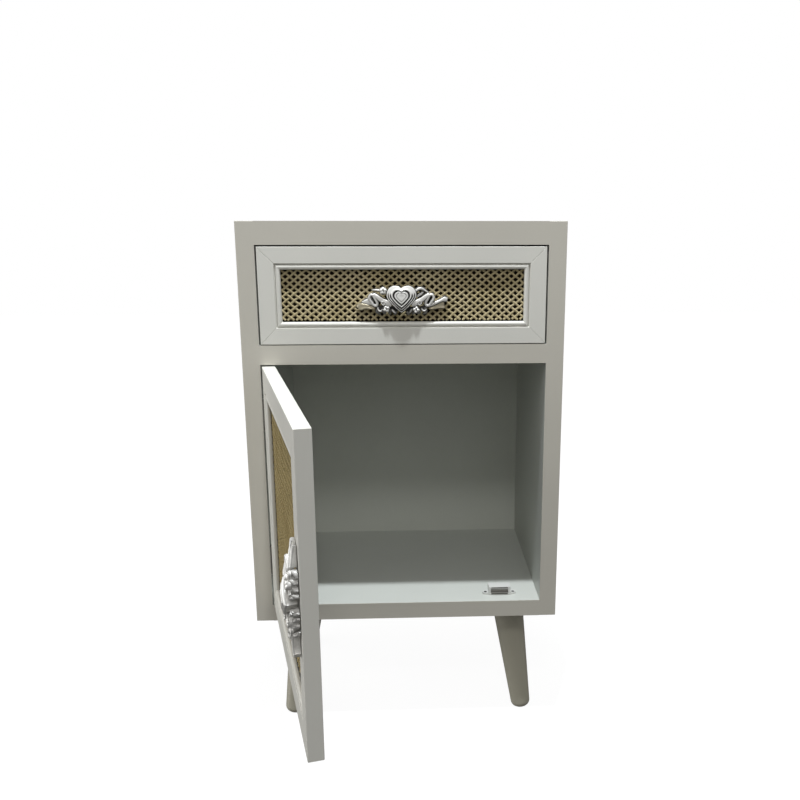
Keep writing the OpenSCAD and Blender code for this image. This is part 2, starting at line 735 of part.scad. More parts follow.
// A plain board in the rebate of a frame, from depth y0 to y1
module rebate_board(w, h, y0, y1) {
    lap = rebate_w - seat;
    block(-w / 2 - lap, w / 2 + lap, y0, y1, -h / 2 - lap, h / 2 + lap);
}

door_backing_y0 = lip_t + cane_t;
door_backing_y1 = door_backing_y0 + door_backing_t;

module door_backing()
    color(core_brown) swung() translate([door_mid_x, 0, door_mid_z])
        rebate_board(door_open_w, door_open_h, door_backing_y0, door_backing_y1);

// Four strips that hold the backing in from the inside of the door
module door_panel_beads() {
    strip = rebate_w - seat;
    half_w = door_open_w / 2 + strip;
    half_h = door_open_h / 2 + strip;
    color(front_paint) swung() translate([door_mid_x, 0, door_mid_z]) {
        for (s = [-1, 1]) {
            block(-half_w, half_w, door_backing_y1, frame_t, s < 0 ? -half_h : half_h - strip,
                  s < 0 ? strip - half_h : half_h);
            block(s < 0 ? -half_w : half_w - strip, s < 0 ? strip - half_w : half_w,
                  door_backing_y1, frame_t, strip - half_h + 0.1, half_h - strip - 0.1);
        }
    }
}

module door_handle() swung() on_door() handle();

module door_handle_screws() swung() on_door() handle_screws(frame_t);

// Strike plate on the inside of the bottom rail, in line with the catch
strike_w = catch_w;
strike_h = catch_h - 2;
strike_z = z_floor + pole_mid;
strike_screw_len = 12;

module at_strike_screws()
    for (s = [-1, 1]) translate([catch_x + s * (strike_w / 2 - 5), strike_y, max(strike_z, door_z0 + strike_h / 2)])
        point_y(-1) children();

module strike_plate()
    color(steel) swung() difference() {
        block(catch_x - strike_w / 2, catch_x + strike_w / 2, frame_t, strike_y,
              max(strike_z - strike_h / 2, door_z0), max(strike_z + strike_h / 2, door_z0 + strike_h));
        at_strike_screws() screw_hole(strike_screw_len, leaf_screw_d, leaf_head_d);
    }

module strike_screws() color(steel) swung() at_strike_screws() screw(strike_screw_len, leaf_screw_d, leaf_head_d);

// ---------- drawer ----------

drawer_open_w = 2 * front_x - 2 * drawer_frame_w;
drawer_open_h = front_z1 - front_z0 - 2 * drawer_frame_w;
front_screw_len = 25;
box_screw_len = 30;

module at_front_screws()
    for (s = [-1, 1], z = [box_screw_low + 10, box_screw_high - 13])
        translate([s * front_screw_x, frame_t + box_wall, z]) point_y(-1) children();

module at_box_screws()
    for (s = [-1, 1], y = [frame_t + box_wall / 2, box_y1 - box_wall / 2], z = [box_screw_low, box_screw_high])
        translate([s * box_x, y, z]) point_x(-s) children();

module on_drawer() translate([0, 0, drawer_handle_z]) children();

module drawer_left_stile()
    color(front_paint) difference() {
        left_stile(-front_x, front_z0, front_z1, drawer_land);
        at_front_screws() screw_hole(front_screw_len);
    }

module drawer_right_stile()
    color(front_paint) difference() {
        right_stile(front_x, front_z0, front_z1, drawer_land);
        at_front_screws() screw_hole(front_screw_len);
    }

module drawer_top_rail() color(front_paint) top_rail(-front_x, front_x, front_z1, drawer_land);
module drawer_bottom_rail() color(front_paint) bottom_rail(-front_x, front_x, front_z0, drawer_land);

module drawer_cane()
    on_drawer() cane_sheet(drawer_open_w, drawer_open_h, drawer_mesh_w, drawer_strand,
                           [[-fold_x, post_y], [fold_x, post_y]]);

// The dark board behind the cane, flush with the back of the frame
module drawer_core()
    color(core_brown) difference() {
        on_drawer() rebate_board(drawer_open_w, drawer_open_h, lip_t + cane_t, frame_t);
        on_drawer() handle_screw_holes(lip_t, frame_t);
        at_front_screws() screw_hole(front_screw_len);
    }

module drawer_box_front()
    color(raw_wood) difference() {
        block(-box_in_x, box_in_x, frame_t, frame_t + box_wall, box_z0, box_z1);
        block(-box_in_x - 1, box_in_x + 1, frame_t + box_wall - box_bottom_bite, frame_t + box_wall + 1,
              box_floor, box_floor + box_bottom_t + seat);
        on_drawer() handle_screw_holes(frame_t, frame_t + box_wall);
        at_front_screws() screw_hole(front_screw_len);
        at_box_screws() screw_hole(box_screw_len);
    }

module drawer_side(side)
    color(raw_wood) difference() {
        block(side < 0 ? -box_x : box_in_x, side < 0 ? -box_in_x : box_x, frame_t, box_y1, box_z0, box_z1);
        // Groove that rides on the runner
        block(side < 0 ? -box_x - 1 : box_x - runner_bite - 2 * seat,
              side < 0 ? -box_x + runner_bite + 2 * seat : box_x + 1,
              frame_t - 1, box_y1 + 1, runner_z0 - runner_clear, runner_z0 + runner_h + runner_clear);
        // Groove for the drawer bottom
        block(side < 0 ? -box_in_x - box_bottom_bite : box_in_x - 1,
              side < 0 ? -box_in_x + 1 : box_in_x + box_bottom_bite,
              frame_t + box_wall - box_bottom_bite, box_y1 + 1, box_floor, box_floor + box_bottom_t + seat);
        at_box_screws() screw_hole(box_screw_len);
    }

module drawer_box_back()
    color(raw_wood) difference() {
        block(-box_in_x, box_in_x, box_y1 - box_wall, box_y1, box_floor + box_bottom_t, box_z1);
        at_box_screws() screw_hole(box_screw_len);
    }

module drawer_bottom()
    color(raw_wood) block(-box_in_x - box_bottom_bite + seat, box_in_x + box_bottom_bite - seat,
                          frame_t + box_wall - box_bottom_bite + seat, box_y1,
                          box_floor, box_floor + box_bottom_t);

// The drawer's handle stands on the cane, behind the lip of the frame
module drawer_handle() translate([0, lip_t, 0]) on_drawer() handle();
module drawer_handle_screws() translate([0, lip_t, 0]) on_drawer() handle_screws(frame_t + box_wall - lip_t);
module drawer_front_screws() color(steel) at_front_screws() screw(front_screw_len);
module drawer_box_screws() color(steel) at_box_screws() screw(box_screw_len);

// ---------- assembly ----------

whole() side_board(-1);  // side_left
whole() side_board(1);  // side_right
whole() top_board();
whole() divider_board();
whole() bottom_board();
whole() back_panel();
whole() carcass_dowels();
whole() back_screws();
whole() leg(-1, -1);  // leg_front_left
whole() leg(1, -1);  // leg_front_right
whole() leg(-1, 1);  // leg_back_left
whole() leg(1, 1);  // leg_back_right
whole() leg_bolts();
whole() runner(-1);  // runner_left
whole() runner(1);  // runner_right
whole() runner_screws();
whole() catch_body();
whole() catch_magnet();
whole() catch_poles();
whole() catch_screws();
whole() fixed_leaf(hinge_zs[1]);  // hinge_upper_fixed_leaf
whole() fixed_leaf(hinge_zs[0]);  // hinge_lower_fixed_leaf
whole() hinge_pins();
whole() hinge_fixed_screws();
whole() door_hinge_stile();
whole() door_free_stile();
whole() door_top_rail();
whole() door_bottom_rail();
whole() door_cane();
whole() door_backing();
whole() door_panel_beads();
whole() door_handle();
whole() door_handle_screws();
whole() door_leaf(hinge_zs[1]);  // hinge_upper_door_leaf
whole() door_leaf(hinge_zs[0]);  // hinge_lower_door_leaf
whole() hinge_door_screws();
whole() strike_plate();
whole() strike_screws();
whole() drawer_left_stile();
whole() drawer_right_stile();
whole() drawer_top_rail();
whole() drawer_bottom_rail();
whole() drawer_cane();
whole() drawer_core();
whole() drawer_box_front();
whole() drawer_side(-1);  // drawer_side_left
whole() drawer_side(1);  // drawer_side_right
whole() drawer_box_back();
whole() drawer_bottom();
whole() drawer_handle();
whole() drawer_handle_screws();
whole() drawer_front_screws();
whole() drawer_box_screws();
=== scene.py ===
"""Dresses the bedside pot cupboard: paint, turned legs, woven cane, cast handles and a plain studio."""

import json
import math

import bmesh
import bpy
from bpy.props import FloatProperty, FloatVectorProperty, IntProperty, PointerProperty
from mathutils import Matrix, Vector


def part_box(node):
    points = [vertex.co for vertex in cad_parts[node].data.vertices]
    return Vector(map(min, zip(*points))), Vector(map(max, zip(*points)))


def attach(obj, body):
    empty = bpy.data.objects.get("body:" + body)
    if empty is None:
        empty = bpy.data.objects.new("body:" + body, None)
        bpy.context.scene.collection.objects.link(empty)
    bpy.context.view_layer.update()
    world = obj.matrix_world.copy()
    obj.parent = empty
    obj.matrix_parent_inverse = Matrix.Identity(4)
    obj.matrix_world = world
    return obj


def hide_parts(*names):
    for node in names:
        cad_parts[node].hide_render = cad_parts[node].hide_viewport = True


bl_info = {
    "name": "Bedside Pot Cupboard",
    "version": (1, 0, 0),
    "blender": (4, 5, 0),
    "location": "3D View > Sidebar > Cupboard",
    "description": "Paint, cane, cast handles and studio for a bedside pot cupboard",
    "category": "Object",
}

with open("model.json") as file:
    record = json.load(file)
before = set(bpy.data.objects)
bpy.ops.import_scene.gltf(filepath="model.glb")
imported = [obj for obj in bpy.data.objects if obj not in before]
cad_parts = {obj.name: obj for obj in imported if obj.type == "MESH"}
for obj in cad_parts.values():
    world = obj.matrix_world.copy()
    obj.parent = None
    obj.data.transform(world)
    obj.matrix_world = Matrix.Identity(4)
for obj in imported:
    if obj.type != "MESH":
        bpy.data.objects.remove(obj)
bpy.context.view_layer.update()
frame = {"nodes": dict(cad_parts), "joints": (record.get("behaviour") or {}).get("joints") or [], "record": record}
NODES = frame["nodes"]
MM = 0.001
JOINTS = {joint["name"]: joint for joint in frame["joints"]}


def low(node):
    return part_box(node)[0]


def high(node):
    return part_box(node)[1]


# The planes that the visible pieces are set out from
FRONT = low("side_right").y
INNER_X = low("side_right").x
UNDER = low("side_right").z
BACK = high("side_right").y
TOP = high("side_right").z

# The door is built closed and then turned to where it stands at rest
DOOR_HINGE = JOINTS["door_hinge"]
DOOR_AXIS = Vector((*DOOR_HINGE["pos_m"][:2], 0))
DOOR_OPEN = math.radians(DOOR_HINGE["range_deg"][0])
TO_OPEN_DOOR = (
    Matrix.Translation(DOOR_AXIS) @ Matrix.Rotation(DOOR_OPEN, 4, "Z") @ Matrix.Translation(-DOOR_AXIS)
)
TO_CLOSED_DOOR = TO_OPEN_DOOR.inverted()


# ---------------------------------------------------------------- materials


class Value:
    """A shader socket that takes part in Python expressions."""

    def __init__(self, finish, socket):
        self.finish = finish
        self.socket = socket

    def _math(self, operation, first, second, clamp=False):
        return self.finish.node(
            "ShaderNodeMath", {"operation": operation, "use_clamp": clamp}, {0: first, 1: second}
        )

    def __add__(self, other):
        return self._math("ADD", self, other)

    def __radd__(self, other):
        return self._math("ADD", other, self)

    def __sub__(self, other):
        return self._math("SUBTRACT", self, other)

    def __rsub__(self, other):
        return self._math("SUBTRACT", other, self)

    def __mul__(self, other):
        return self._math("MULTIPLY", self, other)

    def __rmul__(self, other):
        return self._math("MULTIPLY", other, self)

    def clamped(self):
        return self._math("ADD", self, 0.0, clamp=True)

    def size(self):
        """The value without its sign."""
        return self._math("ABSOLUTE", self, 0.0)

    def over(self, limit):
        """1 where the value is over the limit, and 0 elsewhere."""
        return self._math("GREATER_THAN", self, limit)

    def under(self, limit):
        """1 where the value is under the limit, and 0 elsewhere."""
        return self._math("LESS_THAN", self, limit)

    def near(self, middle, reach):
        """1 where the value is within reach of the middle, and 0 elsewhere."""
        return self.finish.node("ShaderNodeMath", {"operation": "COMPARE"}, {0: self, 1: middle, 2: reach})

    def output(self, name):
        """Another output of the node that made this value."""
        return Value(self.finish, self.socket.node.outputs[name])


class Finish:
    """A procedural material under construction."""

    def __init__(self, name):
        self.material = bpy.data.materials.new(name)
        self.material.use_nodes = True
        self.tree = self.material.node_tree
        self.tree.nodes.clear()

    def node(self, kind, settings=None, sockets=None):
        """Adds a node; a socket takes a plain value or the output of another node."""
        made = self.tree.nodes.new(kind)
        for key, value in (settings or {}).items():
            setattr(made, key, value)
        for key, value in (sockets or {}).items():
            socket = made.inputs[key]
            if isinstance(value, Value):
                self.tree.links.new(value.socket, socket)
            elif isinstance(value, (tuple, list)) and socket.type == "RGBA" and len(value) == 3:
                socket.default_value = (*value, 1)
            else:
                socket.default_value = value
        return Value(self, next(o for o in made.outputs if o.enabled)) if made.outputs else made

    def place(self, scale=(1, 1, 1)):
        """Object coordinates in metres, stretched by a scale."""
        coordinates = self.node("ShaderNodeTexCoord").output("Object")
        return self.node("ShaderNodeMapping", {}, {"Vector": coordinates, "Scale": scale})

    def axes(self):
        """Object coordinates in metres, as one value for each axis."""
        split = self.node("ShaderNodeSeparateXYZ", {}, {0: self.node("ShaderNodeTexCoord").output("Object")})
        return split, split.output("Y"), split.output("Z")

    def noise(self, where, scale, detail=2.0, roughness=0.5, distortion=0.0):
        sockets = {"Vector": where, "Scale": scale, "Detail": detail, "Roughness": roughness}
        return self.node("ShaderNodeTexNoise", {}, {**sockets, "Distortion": distortion})

    def blend(self, factor, first, second):
        mix = self.tree.nodes.new("ShaderNodeMix")
        mix.data_type = "RGBA"
        for index, value in ((0, factor), (6, first), (7, second)):
            if isinstance(value, Value):
                self.tree.links.new(value.socket, mix.inputs[index])
            elif index:
                mix.inputs[index].default_value = (*value, 1) if len(value) == 3 else value
            else:
                mix.inputs[index].default_value = value
        return Value(self, mix.outputs[2])

    def bump(self, height, distance, strength=1.0):
        return self.node("ShaderNodeBump", {}, {"Height": height, "Distance": distance, "Strength": strength})

    def surface(self, **sockets):
        names = {key.replace("_", " "): value for key, value in sockets.items()}
        shader = self.node("ShaderNodeBsdfPrincipled", {}, names)
        self.node("ShaderNodeOutputMaterial", {}, {"Surface": shader})
        return self.material


def shade(colour, factor):
    """A colour made darker or lighter, by one factor or by one for each channel."""
    factors = factor if isinstance(factor, tuple) else (factor,) * 3
    return tuple(min(1.0, channel * by) for channel, by in zip(colour, factors))


def inside_cupboard(finish):
    """1 on the faces of the boards inside the cupboard, where the cooler painted shade goes, and 0 outside it and
    on the boards' front edges.
    """
    # Clear of the rounded front and back edges and of the outer faces, but with the sides' inner faces
    rounding = 0.0009
    skin = 0.001
    touch = 0.0004
    x, y, z = finish.axes()
    depth = y.over(FRONT + rounding) * y.under(BACK - rounding)
    height = z.over(UNDER + skin) * z.under(TOP - skin)
    return depth * height * x.size().under(INNER_X + touch)


def painted_wood(name, colour, grain=(1, 1, 0.12), roughness=0.42, inside=None):
    """Satin paint over wood: a trace of brush marks along the grain and slightly uneven colour.

    The faces inside the cupboard can have a second, cooler grey: painted shade for the cooler light inside the
    cupboard.
    """
    dull, bright, brushed = 0.965, 1.03, 0.93
    finish = Finish(name)
    cloud = finish.noise(finish.place(), 7.0, 3.0, 0.55)
    brush = finish.noise(finish.place(scale=grain), 420.0, 2.0, 0.6)
    peel = finish.noise(finish.place(), 900.0, 1.0)
    uneven = (cloud - 0.3) * 1.6
    tint = finish.blend(uneven, shade(colour, dull), shade(colour, bright))
    # Painted shade: the cooler grey on the faces inside the cupboard
    if inside:
        cooler = finish.blend(uneven, shade(inside, dull), shade(inside, bright))
        tint = finish.blend(inside_cupboard(finish), tint, cooler)
    tint = finish.blend((brush - 0.45) * 0.5, tint, shade(colour, brushed))
    return finish.surface(
        Base_Color=tint,
        Roughness=cloud * 0.10 + (roughness - 0.05),
        Normal=finish.bump(brush * 0.6 + peel * 0.4, 0.00005, 0.5),
        IOR=1.45,
    )


def bare_wood(name, light, dark, grain):
    """Unpainted softwood or ply with a stretched grain."""
    finish = Finish(name)
    stretched = finish.place(scale=grain)
    bend = finish.noise(finish.place(), 5.0)
    rings = finish.noise(stretched, 60.0, 4.0, 0.6, 0.4)
    fibre = finish.noise(stretched, 900.0)
    tint = finish.blend(((rings * 0.75 + bend * 0.25) - 0.3) * 2.2, light, dark)
    return finish.surface(
        Base_Color=tint, Roughness=0.55 + fibre * 0.15, Normal=finish.bump(fibre, 0.00008, 0.5)
    )


def cane_finish(name, depth=(1, 1, 1), shine=0.5):
    """Peeled cane: tan with darker flecks and a fine lengthwise fibre; depth darkens each channel, as painted
    shade.
    """
    finish = Finish(name)
    where = finish.place()
    patch = finish.noise(where, 24.0, 3.0, 0.6)
    fleck = finish.noise(where, 420.0, 2.0, 0.6)
    fibre = finish.noise(where, 1900.0, 1.0)
    tan = shade((0.365, 0.295, 0.145), depth)
    straw = shade((0.545, 0.465, 0.285), depth)
    tint = finish.blend((patch - 0.25) * 1.8, tan, straw)
    tint = finish.blend(((fleck - 0.52) * 4.0).clamped() * 0.45, tint, (0.16, 0.115, 0.055))
    return finish.surface(
        Base_Color=tint,
        Roughness=0.50 + fleck * 0.2,
        Specular_IOR_Level=shine,
        Normal=finish.bump(fibre, 0.0001, 0.5),
    )


def dark_board():
    """Near-black stained board behind the cane, with no shine."""
    finish = Finish("dark_board")
    where = finish.place(scale=(1, 1, 4))
    tint = finish.blend(finish.noise(where, 90.0, 3.0), (0.006, 0.004, 0.002), (0.014, 0.010, 0.005))
    return finish.surface(Base_Color=tint, Roughness=0.9, Specular_IOR_Level=0.05)


def cast_silver():
    """Antique silver: rubbed white on the crests, blackened in the recesses by patina and painted shade, tan under
    the tails as a painted reflection of the cane.
    """
    finish = Finish("antique_silver")
    where = finish.place()
    # Rubbing and patina, together with painted shade in the recesses, on the walls and on the webs
    wear_and_shade = finish.node("ShaderNodeAttribute", {"attribute_name": "crest"}).output("Fac")
    # Painted reflection of the cane: the tan under the drawer handle's tails
    warm = finish.node("ShaderNodeAttribute", {"attribute_name": "warm"}).output("Fac")
    mottle = finish.noise(where, 420.0, 3.0, 0.65)
    pits = finish.noise(where, 1300.0, 2.0, 0.6)
    crest = ((wear_and_shade - 0.08 + (mottle - 0.5) * 0.24) * 1.25).clamped()
    silver = finish.blend(crest, (0.022, 0.020, 0.016), (0.875, 0.86, 0.815))
    # The tan of the painted reflection of the cane
    tan = finish.blend(crest, (0.03, 0.024, 0.014), (0.62, 0.545, 0.37))
    return finish.surface(
        Base_Color=finish.blend(warm * 0.9, silver, tan),
        Metallic=0.45 * crest,
        Roughness=0.52 - crest * 0.14,
        Normal=finish.bump(mottle * 0.7 + pits * 0.3, 0.00015, 0.45),
    )


def plain_metal(name, colour, roughness):
    """Bare or plated steel with fine level streaks."""
    finish = Finish(name)
    streak = finish.noise(finish.place(scale=(1, 1, 8)), 500.0, 2.0)
    tint = finish.blend(streak, shade(colour, 0.8), shade(colour, 1.1))
    return finish.surface(
        Base_Color=tint,
        Metallic=1.0,
        Roughness=streak * 0.15 + (roughness - 0.05),
        Normal=finish.bump(streak, 0.00003, 0.4),
    )


def moulded_plastic(name, colour, node):
    """White plastic with a painted shadow line under the lid and another under the slot, on the front of the node.
    """
    slot_half = 0.0112
    lid_drop, lid_half = 0.0014, 0.0006
    foot_rise, foot_half = 0.0020, 0.0009
    finish = Finish(name)
    grain = finish.noise(finish.place(), 2200.0, 1.0)
    lo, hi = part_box(node)
    x, y, z = finish.axes()
    front = y.under((lo.y * 3 + hi.y) / 4)
    middle = (x - (lo.x + hi.x) / 2).size().under(slot_half)
    # Painted shadow: dark lines on the front where the lid and the slot cast shade
    painted_shadow_lines = z.near(hi.z - lid_drop, lid_half) + z.near(lo.z + foot_rise, foot_half)
    tint = finish.blend(grain, shade(colour, 0.95), colour)
    return finish.surface(
        Base_Color=finish.blend((front * middle * painted_shadow_lines).clamped(), tint, (0.05, 0.048, 0.04)),
        Roughness=0.38 + grain * 0.06,
        Normal=finish.bump(grain, 0.00003, 0.3),
    )


MATERIALS = {}


def material(name):
    """Each finish is made once, from the panel's colours, when a piece first asks for it."""
    paint = bpy.context.scene.cupboard_paint
    makers = {
        "carcass_paint": lambda: painted_wood(
            "carcass_paint", tuple(paint.carcass_colour), (0.8, 1, 0.5), inside=tuple(paint.inside_shade_colour)
        ),
        "leg_paint": lambda: painted_wood("leg_paint", tuple(paint.leg_colour), (1, 1, 0.2), 0.36),
        "front_paint": lambda: painted_wood("front_paint", tuple(paint.front_colour), (1, 1, 0.5), 0.38),
        "back_board": lambda: painted_wood("back_board", tuple(paint.back_colour), (1, 1, 0.3), 0.5),
        "raw_wood": lambda: bare_wood("raw_wood", (0.66, 0.50, 0.30), (0.50, 0.34, 0.18), (1, 0.08, 1)),
        "drawer_cane": lambda: cane_finish("drawer_cane_strands"),
        # The door's cane is darkened and browned as painted shade, for its strands seen edge-on
        "door_cane": lambda: cane_finish("door_cane_strands", (0.80, 0.74, 0.56), 0.2),
        "dark_board": dark_board,
        "antique_silver": cast_silver,
        "catch_plastic": lambda: moulded_plastic("catch_plastic", (0.60, 0.60, 0.57), "catch_body"),
        "pole_steel": lambda: plain_metal("pole_steel", (0.34, 0.33, 0.31), 0.45),
        "hinge_steel": lambda: plain_metal("hinge_steel", (0.20, 0.19, 0.17), 0.5),
        # Painted shade: near-black steel for the catch's screws, standing in for the shadow in their holes
        "dark_steel": lambda: plain_metal("dark_steel", (0.05, 0.048, 0.045), 0.5),
        "zinc_steel": lambda: plain_metal("zinc_steel", (0.62, 0.62, 0.61), 0.35),
    }
    if name not in MATERIALS:
        MATERIALS[name] = makers[name]()
    return MATERIALS[name]


# ---------------------------------------------------------------- meshes


# A face at least this wide keeps its own flat shading, and so does a face in its plane, within this gap and
# this cosine; widths and gaps are in metres
BROAD = 0.003
PLANE_GAP = 2e-5
PLANE_TURN = 0.98

# Angles in radians under which a CAD node's facets are one face, and over which an edge is rounded
FLAT_ANGLE = math.radians(0.6)
EDGE_ANGLE = math.radians(38)


def new_piece(name, mesh, body, finish, nodes=()):
    """Adds a finished mesh in the CAD frame and says what it rides on, stands for and is made of."""
    piece = bpy.data.objects.new(name, mesh)
    bpy.context.scene.collection.objects.link(piece)
    if not mesh.materials:
        mesh.materials.append(material(finish))
    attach(piece, body)
    if nodes:
        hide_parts(*nodes)
    return piece


def body_of_node(node):
    return next(body for body, nodes in frame["record"]["behaviour"]["bodies"].items() if node in nodes)


def closed_box(node):
    """A node's lowest and highest corners with the door closed."""
    turn = TO_CLOSED_DOOR if body_of_node(node) == "door" else Matrix.Identity(4)
    corners = [turn @ vertex.co for vertex in NODES[node].data.vertices]
    return [Vector([pick(corner[i] for corner in corners) for i in range(3)]) for pick in (min, max)]


def mesh_from(name, bm, smooth_angle=30):
    """Turns a bmesh into a smooth-shaded mesh whose sharp edges and broad flat faces stay crisp."""
    mesh = bpy.data.meshes.new(name)
    bm.to_mesh(mesh)
    bm.free()
    mesh.set_sharp_from_angle(angle=math.radians(smooth_angle))
    # Broad flat faces keep their own shading, so a rounded edge or a sunk screw doesn't shade them
    broad = []
    for polygon in mesh.polygons:
        corners = [mesh.vertices[i].co for i in polygon.vertices]
        longest = max((a - b).length for a, b in zip(corners, corners[1:] + corners[:1]))
        if polygon.area > BROAD * longest:
            broad.append((polygon.center.copy(), polygon.normal.copy()))
    for polygon in mesh.polygons:
        polygon.use_smooth = not any(
            abs((polygon.center - middle).dot(normal)) < PLANE_GAP
            and normal.dot(polygon.normal) > PLANE_TURN
            for middle, normal in broad
        )
    return mesh


def softened(node, name, slot, finish, bevel=0.0006, smooth_angle=20, shortest=0.008, flush=None):
    """A copy of a CAD node with its long edges rounded over, as sanded and painted wood is.

    Edges shorter than shortest stay sharp. So do those in the planes x = flush and x = -flush, where
    filled joints leave no line.
    """
    bm = bmesh.new()
    bm.from_mesh(NODES[node].data)
    bmesh.ops.remove_doubles(bm, verts=bm.verts, dist=1e-6)
    bmesh.ops.dissolve_limit(
        bm, angle_limit=FLAT_ANGLE, verts=bm.verts, edges=bm.edges, use_dissolve_boundaries=False
    )
    if bevel:
        edges = [
            e
            for e in bm.edges
            if e.is_manifold
            and e.calc_length() > shortest
            and e.calc_face_angle(0) > EDGE_ANGLE
            and not (flush and all(abs(abs(v.co.x) - flush) < 1e-5 for v in e.verts))
        ]
        bmesh.ops.bevel(
            bm, geom=edges, offset=bevel, segments=2, profile=0.6, affect="EDGES", clamp_overlap=False
        )
    bmesh.ops.triangulate(bm, faces=[f for f in bm.faces if len(f.verts) > 4])
    mesh = mesh_from(name, bm, smooth_angle)
    return new_piece(name, mesh, body_of_node(node), finish, [node])


# ---------------------------------------------------------------- cane


def cane_tree():
    """Geometry Nodes that weave two families of strands across a rectangle."""
    tree = bpy.data.node_groups.new("woven_cane", "GeometryNodeTree")
    face = tree.interface
    wanted = {
        "NodeSocketFloat": (
            "Width", "Height", "Mesh width", "Mesh height", "Strand width", "Strand thickness", "Weave",
            "Unevenness", "Seed",
        ),
        "NodeSocketInt": ("Strands", "Points"),
        "NodeSocketMaterial": ("Material",),
    }
    for kind, names in wanted.items():
        for name in names:
            face.new_socket(name=name, in_out="INPUT", socket_type=kind)
    face.new_socket(name="Geometry", in_out="OUTPUT", socket_type="NodeSocketGeometry")
    nodes, links = tree.nodes, tree.links
    given = nodes.new("NodeGroupInput")

    def add(kind, settings=None, sockets=None):
        made = nodes.new(kind)
        for key, value in (settings or {}).items():
            setattr(made, key, value)
        for key, value in (sockets or {}).items():
            if isinstance(value, bpy.types.NodeSocket):
                links.new(value, made.inputs[key])
            else:
                made.inputs[key].default_value = value
        return made

    def calc(operation, first, second=0.0):
        return add("ShaderNodeMath", {"operation": operation}, {0: first, 1: second}).outputs[0]

    def vector(x=0.0, y=0.0, z=0.0):
        return add("ShaderNodeCombineXYZ", {}, {0: x, 1: y, 2: z}).outputs[0]

    def combine(operation, first, second):
        return add("ShaderNodeVectorMath", {"operation": operation}, {0: first, 1: second}).outputs[0]

    # The noise that moves a strand off its line: its scale, its gain, and the share of it that goes upwards
    stray_scale, stray_gain, stray_up = 55.0, 4.0, 0.15
    section_sides = 6
    width, height = given.outputs["Width"], given.outputs["Height"]
    pitch, rise = given.outputs["Mesh width"], given.outputs["Mesh height"]
    strands = given.outputs["Strands"]
    half_run = calc("DIVIDE", calc("MULTIPLY", height, pitch), calc("MULTIPLY", rise, 2.0))
    half_height = calc("MULTIPLY", height, 0.5)
    first = calc("MULTIPLY", calc("MULTIPLY", calc("SUBTRACT", strands, 1.0), pitch), -0.5)
    join = add("GeometryNodeJoinGeometry")
    for way in (1.0, -1.0):
        # Straight strands from the bottom edge to the top, one mesh apart and all leaning the same way
        starts = add(
            "GeometryNodeMeshLine",
            {},
            {"Count": strands, "Start Location": vector(first), "Offset": vector(pitch)},
        ).outputs[0]
        run = calc("MULTIPLY", half_run, way)
        line = add(
            "GeometryNodeCurvePrimitiveLine",
            {},
            {
                "Start": vector(calc("MULTIPLY", run, -1.0), calc("MULTIPLY", half_height, -1.0)),
                "End": vector(run, half_height),
            },
        ).outputs[0]
        bends = given.outputs["Points"]
        fine = add("GeometryNodeResampleCurve", {}, {"Curve": line, "Count": bends}).outputs[0]
        laid = add("GeometryNodeInstanceOnPoints", {}, {"Points": starts, "Instance": fine}).outputs[0]
        laid = add("GeometryNodeRealizeInstances", {}, {"Geometry": laid}).outputs[0]
        # Each goes over one strand of the other family and under the next, and strays a little
        place = add("GeometryNodeInputPosition").outputs[0]
        x = add("ShaderNodeSeparateXYZ", {}, {0: place}).outputs[0]
        turn = calc("DIVIDE", calc("MULTIPLY", x, 2.0 * math.pi), pitch)
        over = calc("MULTIPLY", calc("MULTIPLY", calc("COSINE", turn), given.outputs["Weave"]), way)
        stray = add(
            "ShaderNodeTexNoise",
            {"noise_dimensions": "4D"},
            {"Vector": place, "W": calc("ADD", given.outputs["Seed"], way), "Scale": stray_scale},
        ).outputs["Color"]
        reach = calc("MULTIPLY", given.outputs["Unevenness"], stray_gain)
        centred = combine("SUBTRACT", stray, (0.5, 0.5, 0.5))
        scaled = add("ShaderNodeVectorMath", {"operation": "SCALE"}, {0: centred, "Scale": reach}).outputs[0]
        moved = combine("ADD", combine("MULTIPLY", scaled, (1.0, 1.0, stray_up)), vector(0.0, 0.0, over))
        # Cut off at the sides and given an oval section that lies flat
        outside = calc("GREATER_THAN", calc("ABSOLUTE", x), calc("MULTIPLY", width, 0.5))
        kept = add(
            "GeometryNodeDeleteGeometry", {"domain": "POINT"}, {"Geometry": laid, "Selection": outside}
        ).outputs[0]
        waved = add("GeometryNodeSetPosition", {}, {"Geometry": kept, "Offset": moved}).outputs[0]
        upright = add("GeometryNodeSetCurveNormal", {"mode": "Z_UP"}, {"Curve": waved}).outputs[0]
        ring = add(
            "GeometryNodeCurvePrimitiveCircle", {}, {"Resolution": section_sides, "Radius": 0.5}
        ).outputs[0]
        oval = add(
            "GeometryNodeTransform",
            {},
            {
                "Geometry": ring,
                "Scale": vector(given.outputs["Strand width"], given.outputs["Strand thickness"], 1.0),
            },
        ).outputs[0]
        solid = add(
            "GeometryNodeCurveToMesh", {}, {"Curve": upright, "Profile Curve": oval, "Fill Caps": True}
        ).outputs[0]
        links.new(solid, join.inputs[0])
    real = add("GeometryNodeRealizeInstances", {}, {"Geometry": join.outputs[0]}).outputs[0]
    smooth = add("GeometryNodeSetShadeSmooth", {}, {"Geometry": real}).outputs[0]
    tinted = add(
        "GeometryNodeSetMaterial", {}, {"Geometry": smooth, "Material": given.outputs["Material"]}
    ).outputs[0]
    result = nodes.new("NodeGroupOutput")
    links.new(tinted, result.inputs[0])
    return tree


